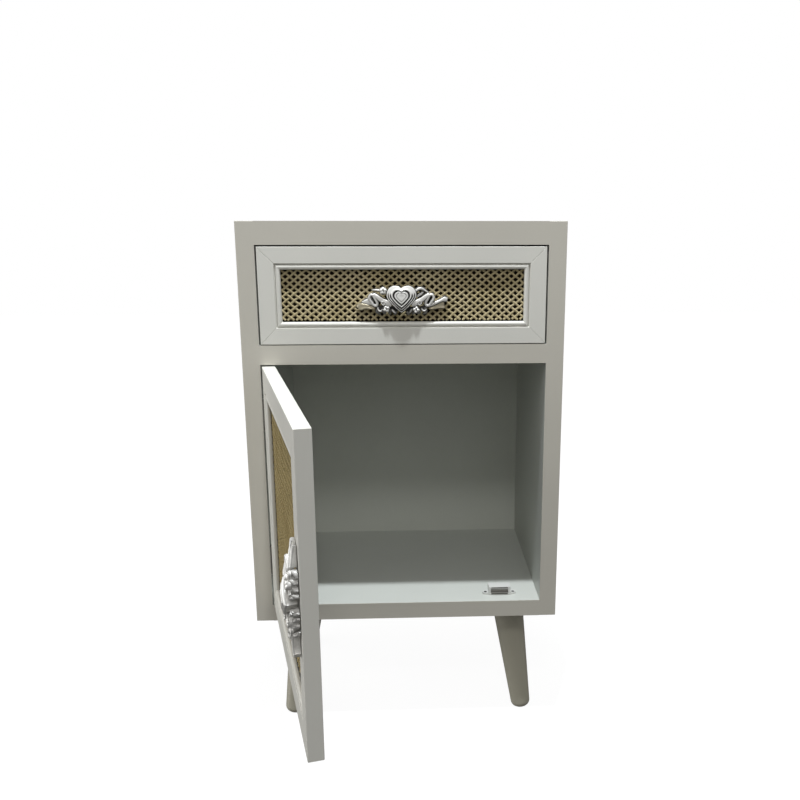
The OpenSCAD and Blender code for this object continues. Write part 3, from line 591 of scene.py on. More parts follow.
def grown(name, tree, values):
    """Runs a Geometry Nodes tree once and returns its result as a plain mesh."""
    carrier = bpy.data.objects.new(name, bpy.data.meshes.new(name))
    bpy.context.scene.collection.objects.link(carrier)
    modifier = carrier.modifiers.new("made", "NODES")
    modifier.node_group = tree
    sockets = {item.name: item.identifier for item in tree.interface.items_tree if item.in_out == "INPUT"}
    for key, value in values.items():
        modifier[sockets[key]] = value
    bpy.context.view_layer.update()
    depsgraph = bpy.context.evaluated_depsgraph_get()
    mesh = bpy.data.meshes.new_from_object(carrier.evaluated_get(depsgraph))
    carrier.modifiers.remove(modifier)
    bpy.data.objects.remove(carrier)
    mesh.name = name
    return mesh


# ---------------------------------------------------------------- handle


# The heart's outline, as shares of its width: radius of a lobe, depth of the point under the lobes' centres,
# and how far the flanks belly out
LOBE_RADIUS = 0.295
POINT_DEPTH = 0.605
BELLY = 0.022

# The height in mm of the band between the heart's second and third grooves
HEART_BAND = 0.5

# The grooves of the heart: place and half width as shares of the way in, depth in mm, how dark they are painted
# for patina and shade, and whether they fade out over the lobes
HEART_GROOVES = (
    (0.12, 0.07, 0.8, 2.6, True),
    (0.275, 0.085, 0.8, 2.6, True),
    (0.475, 0.09, 1.5, 2.4, False),
    (0.68, 0.06, 0.35, 0.5, False),
)

# The casting is drawn in mm and then lowered to this share of its height
LOWERED = 0.93


def ramp(value, start, length):
    """0 before start, rising evenly to 1 at a length beyond it."""
    return min(1.0, max(0.0, (value - start) / length))


def ease(t):
    return t * t * (3 - 2 * t)


def dip(t, where, wide):
    """A smooth groove of unit depth."""
    x = abs(t - where) / wide
    return 0.0 if x >= 1 else 0.5 + 0.5 * math.cos(math.pi * x)


def circle(centre, radius, height, count):
    """Points round a level circle."""
    angles = [2 * math.pi * k / count for k in range(count)]
    return [(centre[0] + radius * math.cos(a), centre[1] + radius * math.sin(a), height) for a in angles]


def heart_line(width, count=96):
    """Points round a heart, lobe centres on the first axis, starting at the point."""
    radius = LOBE_RADIUS * width
    centre = width / 2 - radius
    depth = POINT_DEPTH * width
    reach = math.sqrt(centre**2 + depth**2 - radius**2)
    lean = math.atan(centre / depth) + math.asin(radius / math.hypot(centre, depth))
    touch = (reach * math.sin(lean), reach * math.cos(lean) - depth)
    start = math.atan2(touch[1], touch[0] - centre)
    notch = math.acos(-centre / radius)
    half = []
    flank = int(count * 0.2)
    for i in range(flank):
        t = i / flank
        belly = BELLY * width * math.sin(math.pi * t)
        half.append((touch[0] * t + belly * 0.8, -depth + (touch[1] + depth) * t - belly * 0.4))
    arc = count // 2 - flank
    for i in range(arc + 1):
        a = start + (notch - start) * i / arc
        half.append((centre + radius * math.cos(a), radius * math.sin(a)))
    return half + [(-x, y) for x, y in half[-2:0:-1]]


def rings_to_mesh(bm, rings, crest, warm=0.0):
    """Joins rings of equal length into a closed shell; crest has a value for each ring, or for each point."""
    wear_and_shade = bm.verts.layers.float["crest"]
    tan = bm.verts.layers.float["warm"]
    layers = []
    for ring, level in zip(rings, crest):
        levels = level if isinstance(level, list) else [level] * len(ring)
        row = []
        for point, value in zip(ring, levels):
            vertex = bm.verts.new(point)
            vertex[wear_and_shade] = value
            vertex[tan] = warm
            row.append(vertex)
        layers.append(row)
    count = len(rings[0])
    for a, b in zip(layers, layers[1:]):
        for i in range(count):
            j = (i + 1) % count
            bm.faces.new((a[i], a[j], b[j], b[i]))
    bm.faces.new(layers[0][::-1])
    bm.faces.new(layers[-1])


def heart_height(inset, high):
    """Height over the dome, and the level of rubbing, patina and painted shade, at a share of the way in; high is
    1 on the lobes and 0 below them.
    """
    rounding, rim, middle = 0.05, 0.03, 0.51
    edge = 1.5 * (1 - ramp(inset, 0.0, rounding)) ** 2
    band = HEART_BAND * dip(inset, 0.36, 0.14)
    inner = 0.5 * ease(ramp(inset, 0.54, 0.46))
    height = band - inner - edge
    wear_and_shade = 1.15
    for where, wide, deep, dark, fades in HEART_GROOVES:
        groove = dip(inset, where, wide) * (1 - ease(high) if fades else 1)
        height -= deep * groove
        wear_and_shade -= dark * groove
    # The rim is painted black for patina and for the shade at its edge, and the middle inside the third groove is
    # a little duller
    if inset < rim:
        wear_and_shade -= 1.1 * (1 - inset / rim)
    if inset > middle:
        wear_and_shade -= 0.30
    return height, max(-0.4, wear_and_shade)


def add_heart(bm, width, back, front):
    """The stepped heart. back is the underside of its wall at the lobes, and front the top of its dome."""
    outline = heart_line(width)
    # How far the lobes' centres lie above the middle of the casting, the radius of the dome, and how much
    # deeper the wall goes at the tip
    lobes = (POINT_DEPTH - LOBE_RADIUS) * width / 2 + 0.5
    dome = 52.0
    deeper = 9.4
    rings, crest = [], []

    def sized(share):
        """The outline at a share of its size, drawn in towards a place just above its middle."""
        shift = (share - 1) * 0.07 * width + lobes
        return [(x * share, y * share + shift) for x, y in outline]

    def crown(x, y):
        return front - dome + math.sqrt(dome * dome - x**2 - y**2)

    # The wall goes deeper at the tip, down to the leaves, than at the lobes, where a finger goes behind.
    # A ring has its share of the outline, its rise over the underside or drop below the dome, and its level of
    # rubbing and painted shade.
    wall = (
        (0.86, 0.0, None, 0.3),
        (0.97, 1.2, None, 0.6),
        (1.035, None, 3.2, 0.7),
        (1.035, None, 2.7, 0.0),
        (1.005, None, 1.75, 0.0),
    )
    for share, rise, drop, wear_and_shade in wall:
        ring = []
        for (_, y), (at_x, at_y) in zip(outline, sized(share)):
            under = back - deeper * (1 - ease(ramp(y / width, -0.3, 0.3)))
            ring.append((at_x, at_y, under + rise if drop is None else crown(at_x, at_y) - drop))
        rings.append(ring)
        crest.append(wear_and_shade)
    # The face, in rings up to the middle; its raised band reaches the dome
    steps = 57
    for step in range(steps - 1):
        inset = step / steps
        ring, levels = [], []
        for (_, y), (at_x, at_y) in zip(outline, sized(1 - inset)):
            height, wear_and_shade = heart_height(inset, ramp(y / width, -0.08, 0.22))
            ring.append((at_x, at_y, crown(at_x, at_y) + height - HEART_BAND))
            levels.append(wear_and_shade)
        rings.append(ring)
        crest.append(levels)
    rings_to_mesh(bm, rings, crest)


def smooth_path(points, steps=6):
    """A Catmull-Rom line through points of any dimension."""
    points = [Vector(p) for p in points]
    padded = [2 * points[0] - points[1], *points, 2 * points[-1] - points[-2]]
    line = []
    for a, b, c, d in zip(padded, padded[1:], padded[2:], padded[3:]):
        for k in range(steps):
            t = k / steps
            bend = (2 * a - 5 * b + 4 * c - d) * t * t + (3 * b - a - 3 * c + d) * t**3
            line.append(0.5 * (2 * b + (c - a) * t + bend))
    line.append(points[-1])
    return line


def add_band(bm, points, crest=1.0, warm=0.0, hollow=0.0, rim=1.1, line=0.0, loop=False):
    """Sweeps a cast band through points, each (x, y, width of the crest, top, underside), in mm.

    crest is how bright the band is, its walls and grooves darkened by patina and painted shade, and the next
    argument how tan it is, a painted reflection of the cane. hollow is how far its middle is sunk, rim how far its
    foot stands out on each side, and line the brightness of the groove along its shoulders.
    """
    if loop:
        points = points + points[:1]
    path = smooth_path([(x, y, 0) for x, y, _, _, _ in points])
    sizes = smooth_path([(width, top, under) for _, _, width, top, under in points])
    # One half of the section, from the underside up: share of the half width, mm further out, mm below the top
    # (None is the underside itself) and level of rubbing, patina and painted shade
    half_section = [
        (1, rim, None, 0.7),
        (1, rim, 2.0, 0.95),
        (1, rim, 1.6, line),
        (1, rim * 0.2, 0.65, line),
        (1, 0.0, 0.3, 0.85),
        (0.55, 0.0, 0.0, 1.0),
    ]
    middle = (0.0, 0.0, hollow, 0.85 if hollow else 1.0)
    other_half = [(-share, out, drop, level) for share, out, drop, level in reversed(half_section)]
    section = [*half_section, middle, *other_half]
    rings, wear_and_shade = [], []
    for i, (centre, size) in enumerate(zip(path, sizes)):
        ahead = path[min(i + 1, len(path) - 1)] - path[max(i - 1, 0)]
        if loop and i in (0, len(path) - 1):
            ahead = path[1] - path[-2]
        side = Vector((-ahead.y, ahead.x, 0)).normalized()
        half, top, under = size.x / 2, size.y, size.z
        ring = []
        for share, out, drop, _ in section:
            across = share * half + math.copysign(out, share)
            height = under if drop is None else max(under + 0.05, top - drop)
            ring.append((centre.x + side.x * across, centre.y + side.y * across, height))
        rings.append(ring)
        ends = 0.35 if not loop and i in (0, len(path) - 1) else 1.0
        wear_and_shade.append([crest * level * ends for _, _, _, level in section])
    rings_to_mesh(bm, rings, wear_and_shade, warm)


def add_bead(bm, centre, radius, height, crest):
    """A domed bead that is brighter towards its top; its rings lie at shares of its height."""
    levels = (-0.9, -0.4, 0.1, 0.45, 0.8, 0.97)
    rings = [
        circle(centre, radius * math.sqrt(1 - level * level), centre[2] + height * level, 12)
        for level in levels
    ]
    rings_to_mesh(bm, rings, [ramp(crest * (0.35 + 1.3 * level), 0.0, 1.0) for level in levels])


def add_flower(bm, centre, radius, lift, petals, turn):
    """A small rosette: a dark ground, domed petals at the height of lift, and a dark eye off its middle."""
    x, y = centre
    # Rings of the ground: share of the radius, mm above lift, and level of patina and painted shade
    ground = ((1.1, -4.0, 0.6), (1.12, -1.0, 0.6), (1.0, -0.6, 0.0), (0.7, -0.3, 0.0))
    rings = [circle(centre, radius * share, lift + rise, 20) for share, rise, _ in ground]
    rings_to_mesh(bm, rings, [level for _, _, level in ground])
    out = radius * 0.56
    for k in range(petals):
        a = math.radians(turn + 360 * k / petals)
        petal = (x + out * math.cos(a), y + out * math.sin(a), lift)
        add_bead(bm, petal, radius * 0.50, radius * 0.42, crest=1.15)
    eye = (x + radius * 0.12, y - radius * 0.08, lift + radius * 0.30)
    add_bead(bm, eye, radius * 0.24, radius * 0.12, crest=0.0)


def add_side(bm, way):
    """The folded ribbon, tail and leaves on one side of the heart; way is 1 at the right, -1 at the left."""

    def band(points, **kinds):
        add_band(bm, [(way * x, *rest) for x, *rest in points], **kinds)

    # Ribbon from behind the heart, climbing to the fold
    band(
        [
            (12, -5.5, 6.4, 12.4, 7.5), (18, -3.8, 6.4, 12.2, 7.0), (24, -0.6, 5.4, 11.8, 6.2),
            (30, 3.8, 4.4, 11.4, 5.4), (34.6, 6.8, 3.0, 10.6, 4.0),
        ]
    )
    # The hairpin fold, a long loop round a slit
    band(
        [
            (34.6, 5.6, 2.6, 11.0, 3.0), (37.9, 5.3, 2.7, 11.0, 3.0), (39.3, 1.8, 2.7, 10.8, 3.0),
            (37.0, -2.6, 2.7, 10.4, 3.0), (34.0, -6.7, 2.8, 10.0, 3.0), (30.7, -7.4, 2.8, 10.0, 3.0),
            (29.6, -4.0, 2.7, 10.4, 3.0), (32.0, 0.6, 2.6, 10.8, 3.0),
        ],
        rim=0.55,
        loop=True,
    )
    # Web that closes the back of the fold, painted black as shade
    band([(37.4, 4.2, 2.6, 5.4, 2.6), (34.4, -1.0, 3.0, 5.2, 2.6), (31.4, -6.0, 2.6, 5.0, 2.6)], crest=0.0)
    if way > 0:
        # Bright upper edge of the tail, ending in a knob
        band(
            [
                (32.0, -7.9, 3.0, 9.8, 2.5), (37, -6.3, 3.0, 9.0, 2.3), (43, -3.9, 2.9, 8.0, 2.0),
                (48.6, -1.4, 3.0, 6.6, 1.5), (52.4, -0.2, 5.2, 5.8, 1.2), (56.2, -0.6, 4.4, 5.2, 1.0),
            ]
        )
        tail = [
            (33.6, -11.4, 2.0, 7.8, 1.0), (39, -9.8, 4.4, 6.8, 0.9), (45.5, -7.6, 7.2, 5.6, 0.8),
            (52.6, -6.6, 9.0, 4.4, 0.7),
        ]
    else:
        # Broad white wedge that runs out to a point, and the thin edge over it
        band(
            [
                (35.0, -5.4, 3.0, 9.8, 2.5), (38.4, -3.0, 7.0, 9.2, 2.3), (42.6, -2.6, 6.0, 8.6, 2.0),
                (48.5, -3.4, 1.2, 8.0, 1.5),
            ]
        )
        band([(36.4, 2.2, 1.6, 10.0, 2.4), (40.6, 0.6, 1.4, 8.8, 2.2), (45.0, -0.4, 0.8, 7.2, 2.0)])
        tail = [
            (32.6, -11.4, 2.2, 9.0, 1.0), (38, -9.6, 3.8, 8.8, 0.9), (44.4, -8.4, 5.8, 8.6, 0.8),
            (50.2, -9.0, 7.8, 8.4, 0.7), (52.6, -11.2, 6.4, 8.0, 0.6),
        ]
    # Underside of the tail, a flared trough, tan as a painted reflection of the cane
    band(tail, crest=0.85, warm=1.0, hollow=0.8, rim=0.6, line=0.35)
    # Root of the ribbon, rolled into a small scroll
    band(
        [
            (19.4, -3.2, 1.0, 13.0, 8.0), (22.6, -1.6, 1.1, 13.0, 8.0), (24.2, -4.4, 1.1, 12.8, 8.0),
            (21.6, -6.6, 1.0, 12.8, 8.0),
        ],
        rim=0.35,
        loop=True,
    )
    # Folded leaves, painted dim as in shade, that hang under the heart, on a web painted black as shade that
    # closes the casting down to the cane
    leaves = (
        [
            (28.2, -9.6, 2.2, 9.2, 1.2), (29.8, -13.6, 3.6, 7.6, 1.2), (28.6, -16.6, 3.0, 5.2, 1.2),
            (25.6, -18.4, 0.8, 3.4, 1.2),
        ],
        [(21.4, -12.0, 2.6, 9.8, 1.2), (21.8, -15.4, 3.2, 8.2, 1.2), (19.6, -18.0, 0.8, 5.4, 1.2)],
        [(12.6, -12.4, 2.2, 10.0, 1.2), (14.8, -15.6, 3.4, 7.6, 1.2), (13.0, -18.6, 0.8, 4.4, 1.2)],
        [(5.6, -14.6, 1.8, 10.4, 1.2), (8.4, -17.0, 3.0, 7.6, 1.2), (7.4, -19.4, 0.8, 4.0, 1.2)],
    )
    for leaf in leaves:
        band(leaf, crest=0.38, rim=0.6, hollow=0.9)
    band(
        [
            (5.0, -11.6, 5.0, 8.6, 1.4), (14, -12.2, 6.0, 8.4, 1.4), (22, -12.0, 6.0, 8.2, 1.4),
            (30, -9.0, 4.0, 7.6, 1.4),
        ],
        crest=0.0,
        rim=0.3,
    )


def add_left_sprays(bm):
    """A flower with a thin leaf above the left ribbon, and a hook, a flower and a leaf below it."""
    add_flower(bm, (-22.2, 10.6), 4.3, 12.2, 5, 90)
    add_band(bm, [(-36, 11.6, 0.4, 8.4, 6.6), (-31, 11.5, 1.7, 9.4, 7.0), (-26.0, 10.8, 1.5, 10.4, 7.4)])
    hook = [
        (-29.2, -9.0, 1.2, 9.8, 6.6), (-28.2, -12.8, 1.7, 10.0, 6.6), (-25.2, -14.2, 1.7, 10.2, 6.8),
        (-23.4, -11.4, 1.2, 10.4, 7.0),
    ]
    add_band(bm, hook, crest=0.8, rim=0.6)
    add_flower(bm, (-18.4, -11.2), 4.0, 11.4, 4, 120)
    leaf = [(-12.2, -11.6, 0.8, 10.4, 8.0), (-10.0, -14.2, 2.2, 10.4, 8.0), (-7.2, -16.8, 0.8, 10.2, 8.0)]
    add_band(bm, leaf, crest=0.8)


def add_right_sprays(bm):
    """A frond over the right ribbon with a grey leaf under it, and a flower, a hook and a leaf below."""
    frond = [
        (17.6, 10.6, 2.4, 12.6, 8.5), (21.0, 12.9, 2.8, 12.2, 8.0), (25.0, 13.0, 2.6, 11.4, 7.5),
        (29.0, 10.8, 1.8, 10.8, 7.0), (33.0, 7.8, 1.0, 10.4, 5.5),
    ]
    add_band(bm, frond)
    grey_leaf = [(18.6, 3.4, 1.6, 11.6, 8.0), (22.6, 6.0, 2.8, 11.2, 7.6), (27.4, 9.4, 1.2, 10.6, 7.2)]
    add_band(bm, grey_leaf, crest=0.5, hollow=0.5)
    add_flower(bm, (17.8, -12.4), 4.0, 11.4, 4, 80)
    hook = [
        (24.2, -10.2, 1.1, 10.4, 6.8), (25.8, -13.2, 1.8, 10.2, 6.8), (28.8, -13.6, 1.6, 10.0, 6.6),
        (30.4, -11.0, 1.0, 9.6, 6.4),
    ]
    add_band(bm, hook, crest=0.9, rim=0.6)
    leaf = [(12.6, -11.0, 0.8, 10.4, 8.0), (11.2, -14.0, 2.0, 10.4, 8.0), (9.6, -16.6, 0.8, 10.2, 8.0)]
    add_band(bm, leaf, crest=0.6)


def handle_mesh(name, place, hang, least_wear_and_shade, tan):
    """The cast handle: heart, ribbons, tails, leaves and flowers, made flat and set in place by a matrix.

    hang is how far the casting sits off the middle of its feet, in mm. The next argument is the least level of
    rubbing, patina and painted shade anywhere on it, so a higher one paints less shade, and tan is how strongly
    its tails take on the painted reflection of the cane.
    """
    bm = bmesh.new()
    bm.verts.layers.float.new("crest")
    bm.verts.layers.float.new("warm")
    add_heart(bm, width=36.4, back=11.0, front=17.3)
    for way in (1, -1):
        add_side(bm, way)
    add_left_sprays(bm)
    add_right_sprays(bm)
    bmesh.ops.scale(bm, vec=(1, 1, LOWERED), verts=bm.verts)
    bmesh.ops.translate(bm, vec=(*hang, 0), verts=bm.verts)
    # Feet under the folds, each a short post with a narrowed top: radius, height, and level of rubbing and painted
    # shade of its rings
    post = ((3.95, 0.0, 0.3), (3.95, 2.6, 0.3), (3.6, 3.4, 0.2))
    for foot in ((32, -2), (-32, -2)):
        rings = [circle(foot, radius, height, 24) for radius, height, _ in post]
        rings_to_mesh(bm, rings, [level for _, _, level in post])
    # A higher least level paints less shade on the door's handle; tan sets the painted reflection of the cane
    wear_and_shade, warm = bm.verts.layers.float["crest"], bm.verts.layers.float["warm"]
    for vertex in bm.verts:
        vertex[wear_and_shade] = max(least_wear_and_shade, vertex[wear_and_shade])
        vertex[warm] *= tan
    bmesh.ops.recalc_face_normals(bm, faces=bm.faces)
    bmesh.ops.transform(bm, matrix=place, verts=bm.verts)
    return mesh_from(name, bm, 60)


# ---------------------------------------------------------------- settings


class PaintSettings(bpy.types.PropertyGroup):
    carcass_colour: FloatVectorProperty(
        name="Carcass paint",
        description="Warm light grey of the cabinet",
        subtype="COLOR",
        default=(0.56, 0.535, 0.465),
    )
    # Painted shade: the cooler grey of the inside faces stands in for the cooler light inside the cupboard
    inside_shade_colour: FloatVectorProperty(
        name="Inside paint",
        description="Cooler grey of the boards inside",
        subtype="COLOR",
        default=(0.55, 0.566, 0.525),
    )
    front_colour: FloatVectorProperty(
        name="Front paint",
        description="Cooler grey of the door and drawer frames",
        subtype="COLOR",
        default=(0.70, 0.69, 0.63),
    )
    leg_colour: FloatVectorProperty(
        name="Leg paint",
        description="Grey of the turned legs",
        subtype="COLOR",
        default=(0.41, 0.39, 0.31),
    )
    # Painted shade: the back board's grey is cooler and lighter, standing in for the light inside the cupboard
    back_colour: FloatVectorProperty(
        name="Back board paint",
        description="Grey of the back board",
        subtype="COLOR",
        default=(0.61, 0.625, 0.565),
    )


class CaneSettings(bpy.types.PropertyGroup):
    mesh_width: FloatProperty(
        name="Mesh width", description="Width of one mesh of the cane", subtype="DISTANCE", default=0.01025
    )
    mesh_height: FloatProperty(
        name="Mesh height", description="Height of one mesh of the cane", subtype="DISTANCE", default=0.0083
    )
    strand: FloatProperty(
        name="Strand width", description="Width of one strand of cane", subtype="DISTANCE", default=0.00265
    )
    unevenness: FloatProperty(
        name="Unevenness", description="How far a strand strays", subtype="DISTANCE", default=0.0008
    )
    seed: IntProperty(name="Seed", description="Which uneven weave is made", default=3)


class StudioSettings(bpy.types.PropertyGroup):
    key: FloatProperty(
        name="Key lamp", description="Power of the small lamp overhead", unit="POWER", default=63
    )
    front: FloatProperty(
        name="Front lamp", description="Power of the lamp high behind the viewer", unit="POWER", default=13.2
    )
    window: FloatProperty(
        name="Window light", description="Strength of the soft light from the left", default=1.5
    )
    ceiling: FloatProperty(
        name="Ceiling light", description="Brightness of the room above the horizon", default=0.53
    )
    bounce: FloatProperty(
        name="Floor light", description="Brightness of the room below the horizon", default=0.09
    )


# ---------------------------------------------------------------- operators


class CUPBOARD_OT_carcass(bpy.types.Operator):
    """Rounds and paints the boards of the carcass"""

    bl_idname = "cupboard.carcass"
    bl_label = "Carcass"

    def execute(self, context):
        for node in ("side_left", "side_right", "top_board", "divider_board", "bottom_board"):
            softened(node, node + "_painted", "carcass_paint", "carcass_paint", bevel=0.0007, flush=INNER_X)
        softened("back_panel", "back_panel_painted", "back_board", "back_board", bevel=0.0)
        return {"FINISHED"}


class CUPBOARD_OT_legs(bpy.types.Operator):
    """Smooths and paints the four turned legs"""

    bl_idname = "cupboard.legs"
    bl_label = "Legs"

    def execute(self, context):
        for node in ("leg_front_left", "leg_front_right", "leg_back_left", "leg_back_right"):
            softened(node, node + "_painted", "leg_paint", "leg_paint", bevel=0.0, smooth_angle=35)
        return {"FINISHED"}


class CUPBOARD_OT_frames(bpy.types.Operator):
    """Rounds and paints the mitred frames of the door and the drawer"""

    bl_idname = "cupboard.frames"
    bl_label = "Door and drawer frames"

    def execute(self, context):
        parts = ["door_hinge_stile", "door_free_stile", "door_top_rail", "door_bottom_rail"]
        parts += ["drawer_left_stile", "drawer_right_stile", "drawer_top_rail", "drawer_bottom_rail"]
        for node in parts:
            softened(node, node + "_painted", "front_paint", "front_paint", bevel=0.0005, shortest=0.02)
        softened("door_panel_beads", "door_panel_strips", "front_paint", "front_paint", bevel=0.0004)
        return {"FINISHED"}


class CUPBOARD_OT_cane(bpy.types.Operator):
    """Weaves the cane of the door and the drawer"""

    bl_idname = "cupboard.cane"
    bl_label = "Cane"

    def execute(self, context):
        cane = context.scene.cupboard_cane
        tree = cane_tree()
        lean = cane.mesh_width / cane.mesh_height
        points_per_mesh = 6
        side_gap, end_gap = 0.0006, 0.0034
        # Shares of the node's thickness: one strand, and how far a strand swings to each side
        strand_share, swing_share = 0.30, 0.10
        for node, body in (("drawer_cane", "drawer"), ("door_cane", "door")):
            lo, hi = closed_box(node)
            # The sheet ends just above the bottom rail, so a dark line shows along it
            lo.z = closed_box(body + "_bottom_rail")[1].z
            wide, thick, tall = hi.x - lo.x, hi.y - lo.y, hi.z - lo.z
            sizes = {
                "Width": wide - side_gap,
                "Height": tall - end_gap,
                "Mesh width": cane.mesh_width,
                "Mesh height": cane.mesh_height,
                "Strand width": cane.strand,
                "Strand thickness": thick * strand_share,
                "Weave": thick * swing_share,
                "Unevenness": cane.unevenness,
                "Strands": int((wide + tall * lean) / cane.mesh_width) + 1,
                "Points": int(tall * lean / (cane.mesh_width / points_per_mesh)) + 1,
                "Seed": float(cane.seed),
                "Material": material(node),
            }
            mesh = grown(node + "_woven", tree, sizes)
            if not mesh.polygons:
                raise RuntimeError("the cane came out empty")
            # Laid in the plane of the node, then swung open with the door
            place = Matrix.Translation((lo + hi) / 2) @ Matrix.Rotation(math.pi / 2, 4, "X")
            if body == "door":
                place = TO_OPEN_DOOR @ place
            mesh.transform(place)
            new_piece(node + "_woven", mesh, body, node, [node])
        for node in ("drawer_core", "door_backing"):
            softened(node, node + "_stained", "dark_board", "dark_board", bevel=0.0003)
        return {"FINISHED"}


class CUPBOARD_OT_handles(bpy.types.Operator):
    """Casts the two heart handles"""

    bl_idname = "cupboard.handles"
    bl_label = "Handles"

    def execute(self, context):
        flat_to_upright = Matrix.Rotation(math.pi / 2, 4, "X") @ Matrix.Scale(MM, 4)
        lo, hi = closed_box("drawer_handle")
        height = (low("drawer_cane").z + high("drawer_cane").z) / 2
        drawer_place = Matrix.Translation(((lo.x + hi.x) / 2, hi.y, height)) @ flat_to_upright
        # The door's handle is turned a quarter, to stand upright on the free stile
        lo, hi = closed_box("door_handle")
        on_stile = Matrix.Translation(((lo.x + hi.x) / 2, FRONT, (lo.z + hi.z) / 2))
        upright = Matrix.Rotation(-math.pi / 2, 4, "Y")
        door_place = TO_OPEN_DOOR @ on_stile @ upright @ flat_to_upright
        # Its painted shade is lighter than the drawer's, and its tails have no painted reflection of the cane
        for body, place, hang, least_wear_and_shade, tan in (
            ("drawer", drawer_place, (-2.2, -4.1), 0.0, 1.0),
            ("door", door_place, (-1.6, 0.2), 0.5, 0.0),
        ):
            node = body + "_handle"
            mesh = handle_mesh(node + "_cast", place, hang, least_wear_and_shade, tan)
            new_piece(node + "_cast", mesh, body, "antique_silver", [node])
        return {"FINISHED"}


class CUPBOARD_OT_drawer_box(bpy.types.Operator):
    """Finishes the bare wood of the drawer box and its runners"""

    bl_idname = "cupboard.drawer_box"
    bl_label = "Drawer box"

    def execute(self, context):
        for node in (
            "drawer_box_front", "drawer_side_left", "drawer_side_right", "drawer_box_back", "drawer_bottom",
            "runner_left", "runner_right",
        ):
            softened(node, node + "_planed", "raw_wood", "raw_wood", bevel=0.0005)
        NODES["carcass_dowels"].data.materials.clear()
        NODES["carcass_dowels"].data.materials.append(material("raw_wood"))
        return {"FINISHED"}


class CUPBOARD_OT_fittings(bpy.types.Operator):
    """Finishes the hinges, the catch and the screws"""

    bl_idname = "cupboard.fittings"
    bl_label = "Fittings"

    def execute(self, context):
        slots = {entry["node"]: entry["material_slot"] for entry in frame["record"]["subparts"]}
        moulding = {"bevel": 0.0004, "smooth_angle": 35, "shortest": 0.004}
        softened("catch_body", "catch_body_moulded", "catch_plastic", "catch_plastic", **moulding)
        for node, slot in slots.items():
            if slot not in ("hinge_steel", "zinc_steel", "pole_steel"):
                continue
            # The catch's screws are near-black steel: painted shade for the shadow in their holes
            finish = "dark_steel" if node == "catch_screws" else slot
            piece = softened(node, node + "_steel", slot, finish, bevel=0.0, smooth_angle=35)
            if node == "door_handle_screws":
                # Heads let in nearly flush with the inside of the stile
                inner = closed_box("door_free_stile")[1].y
                proud = 0.0003
                for vertex in piece.data.vertices:
                    at = TO_CLOSED_DOOR @ vertex.co
                    at.y = min(at.y, inner + proud)
                    vertex.co = TO_OPEN_DOOR @ at
        return {"FINISHED"}


def surroundings(context):
    """White floor and backdrop that only show in the picture: the lamps and the world light the cupboard."""
    bm = bmesh.new()
    bmesh.ops.create_grid(bm, x_segments=1, y_segments=1, size=6)
    floor = mesh_from("studio_floor", bm)
    bm = bmesh.new()
    bmesh.ops.create_uvsphere(bm, u_segments=48, v_segments=24, radius=20)
    backdrop = mesh_from("studio_backdrop", bm)
    for mesh, grey, glow in ((floor, 0.12, 0.93), (backdrop, 0.0, 1.0)):
        wall = bpy.data.objects.new(mesh.name, mesh)
        finish = Finish(mesh.name)
        finish.surface(
            Base_Color=(grey,) * 3,
            Roughness=1.0,
            Specular_IOR_Level=0.0,
            Emission_Color=(1, 1, 1),
            Emission_Strength=glow,
        )
        mesh.materials.append(finish.material)
        wall.visible_diffuse = wall.visible_glossy = wall.visible_shadow = False
        context.scene.collection.objects.link(wall)


def lamp(context, name, kind, place, target, strength, **shape):
    """A lamp of a kind at a place, turned to its target and unseen by the camera."""
    light = bpy.data.lights.new(name, kind)
    light.energy = strength
    for key, value in shape.items():
        setattr(light, key, value)
    made = bpy.data.objects.new(name, light)
    made.location = place
    made.rotation_euler = (Vector(place) - Vector(target)).to_track_quat("Z", "Y").to_euler()
    made.visible_camera = False
    context.scene.collection.objects.link(made)


def room_light(studio):
    """A world that is bright above the horizon and dim below it."""
    horizon = 0.1
    world = bpy.data.worlds.new("white_room")
    world.use_nodes = True
    tree = world.node_tree
    back = tree.nodes["Background"]
    back.inputs[0].default_value = (1, 1, 1, 1)
    split = tree.nodes.new("ShaderNodeSeparateXYZ")
    level = tree.nodes.new("ShaderNodeMapRange")
    tree.links.new(tree.nodes.new("ShaderNodeTexCoord").outputs["Generated"], split.inputs[0])
    tree.links.new(split.outputs["Z"], level.inputs["Value"])
    limits = {"From Min": -horizon, "From Max": horizon, "To Min": studio.bounce, "To Max": studio.ceiling}
    for key, value in limits.items():
        level.inputs[key].default_value = value
    tree.links.new(level.outputs["Result"], back.inputs[1])
    return world


def photo_camera(context):
    """The camera that was fitted to the edges of the cupboard in the photograph."""
    camera = bpy.data.cameras.new("photo_camera")
    camera.sensor_width = 36
    camera.lens = 37.0
    camera.shift_x = -0.0603
    camera.shift_y = 0.0363
    camera.clip_start = 0.05
    camera.clip_end = 100
    eye = bpy.data.objects.new("photo_camera", camera)
    eye.location = (0.0092, FRONT - 1.0178, 0.6575)
    ahead = Vector((0.0438, 0.9721, -0.2306))
    eye.rotation_euler = ahead.to_track_quat("-Z", "Y").to_euler()
    context.scene.collection.objects.link(eye)
    context.scene.camera = eye


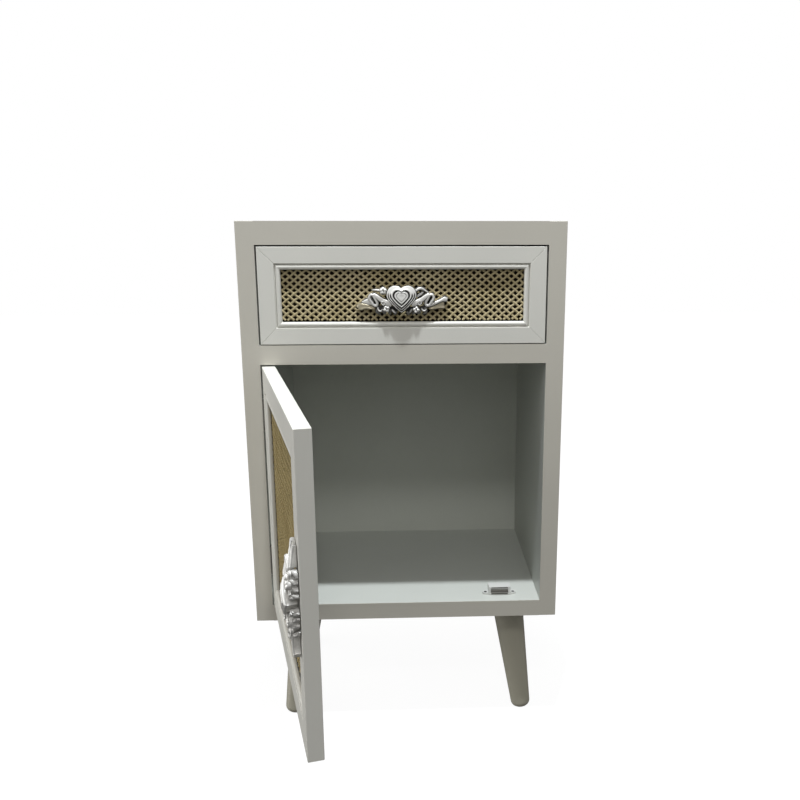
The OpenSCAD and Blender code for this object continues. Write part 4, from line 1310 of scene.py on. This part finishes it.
class CUPBOARD_OT_stage(bpy.types.Operator):
    """Sets up the pale floor, the studio lights and the camera"""

    bl_idname = "cupboard.stage"
    bl_label = "Studio"

    def execute(self, context):
        studio = context.scene.cupboard_studio
        surroundings(context)
        aim = (0, FRONT, 0.5)
        overhead = (0, FRONT - 0.4575, 2.8)
        behind_viewer = (0, FRONT - 2.2, 2.57)
        cool = (0.95, 1.0, 1.05)
        lamp(context, "key_lamp", "AREA", overhead, aim, studio.key, shape="DISK", size=0.12, color=cool)
        lamp(context, "front_lamp", "AREA", behind_viewer, aim, studio.front, shape="DISK", size=0.4)
        from_left = (-0.985, 0.05, 0.16)
        spread = math.radians(70)
        lamp(context, "window_light", "SUN", from_left, (0, 0, 0), studio.window, angle=spread)
        context.scene.world = room_light(studio)
        context.scene.view_settings.view_transform = "Standard"
        context.scene.view_settings.look = "None"
        photo_camera(context)
        return {"FINISHED"}


class CUPBOARD_PT_panel(bpy.types.Panel):
    """Lists the pieces of the cupboard and their settings"""

    bl_label = "Pot Cupboard"
    bl_idname = "CUPBOARD_PT_panel"
    bl_space_type = "VIEW_3D"
    bl_region_type = "UI"
    bl_category = "Cupboard"

    def draw(self, context):
        scene = context.scene
        for group in (scene.cupboard_paint, scene.cupboard_cane, scene.cupboard_studio):
            box = self.layout.box()
            for key in group.__annotations__:
                box.prop(group, key)
        for operator in OPERATORS:
            self.layout.operator(operator.bl_idname)


SETTINGS = {"cupboard_paint": PaintSettings, "cupboard_cane": CaneSettings, "cupboard_studio": StudioSettings}
OPERATORS = (
    CUPBOARD_OT_stage,
    CUPBOARD_OT_carcass,
    CUPBOARD_OT_legs,
    CUPBOARD_OT_frames,
    CUPBOARD_OT_cane,
    CUPBOARD_OT_handles,
    CUPBOARD_OT_drawer_box,
    CUPBOARD_OT_fittings,
)


def register():
    for cls in (*SETTINGS.values(), *OPERATORS, CUPBOARD_PT_panel):
        bpy.utils.register_class(cls)
    for name, group in SETTINGS.items():
        setattr(bpy.types.Scene, name, PointerProperty(type=group))


def unregister():
    for name in SETTINGS:
        delattr(bpy.types.Scene, name)
    for cls in reversed((*SETTINGS.values(), *OPERATORS, CUPBOARD_PT_panel)):
        bpy.utils.unregister_class(cls)


def main():
    register()
    for cls in OPERATORS:
        group, name = cls.bl_idname.split(".")
        getattr(getattr(bpy.ops, group), name)()


if __name__ == "__main__":
    main()
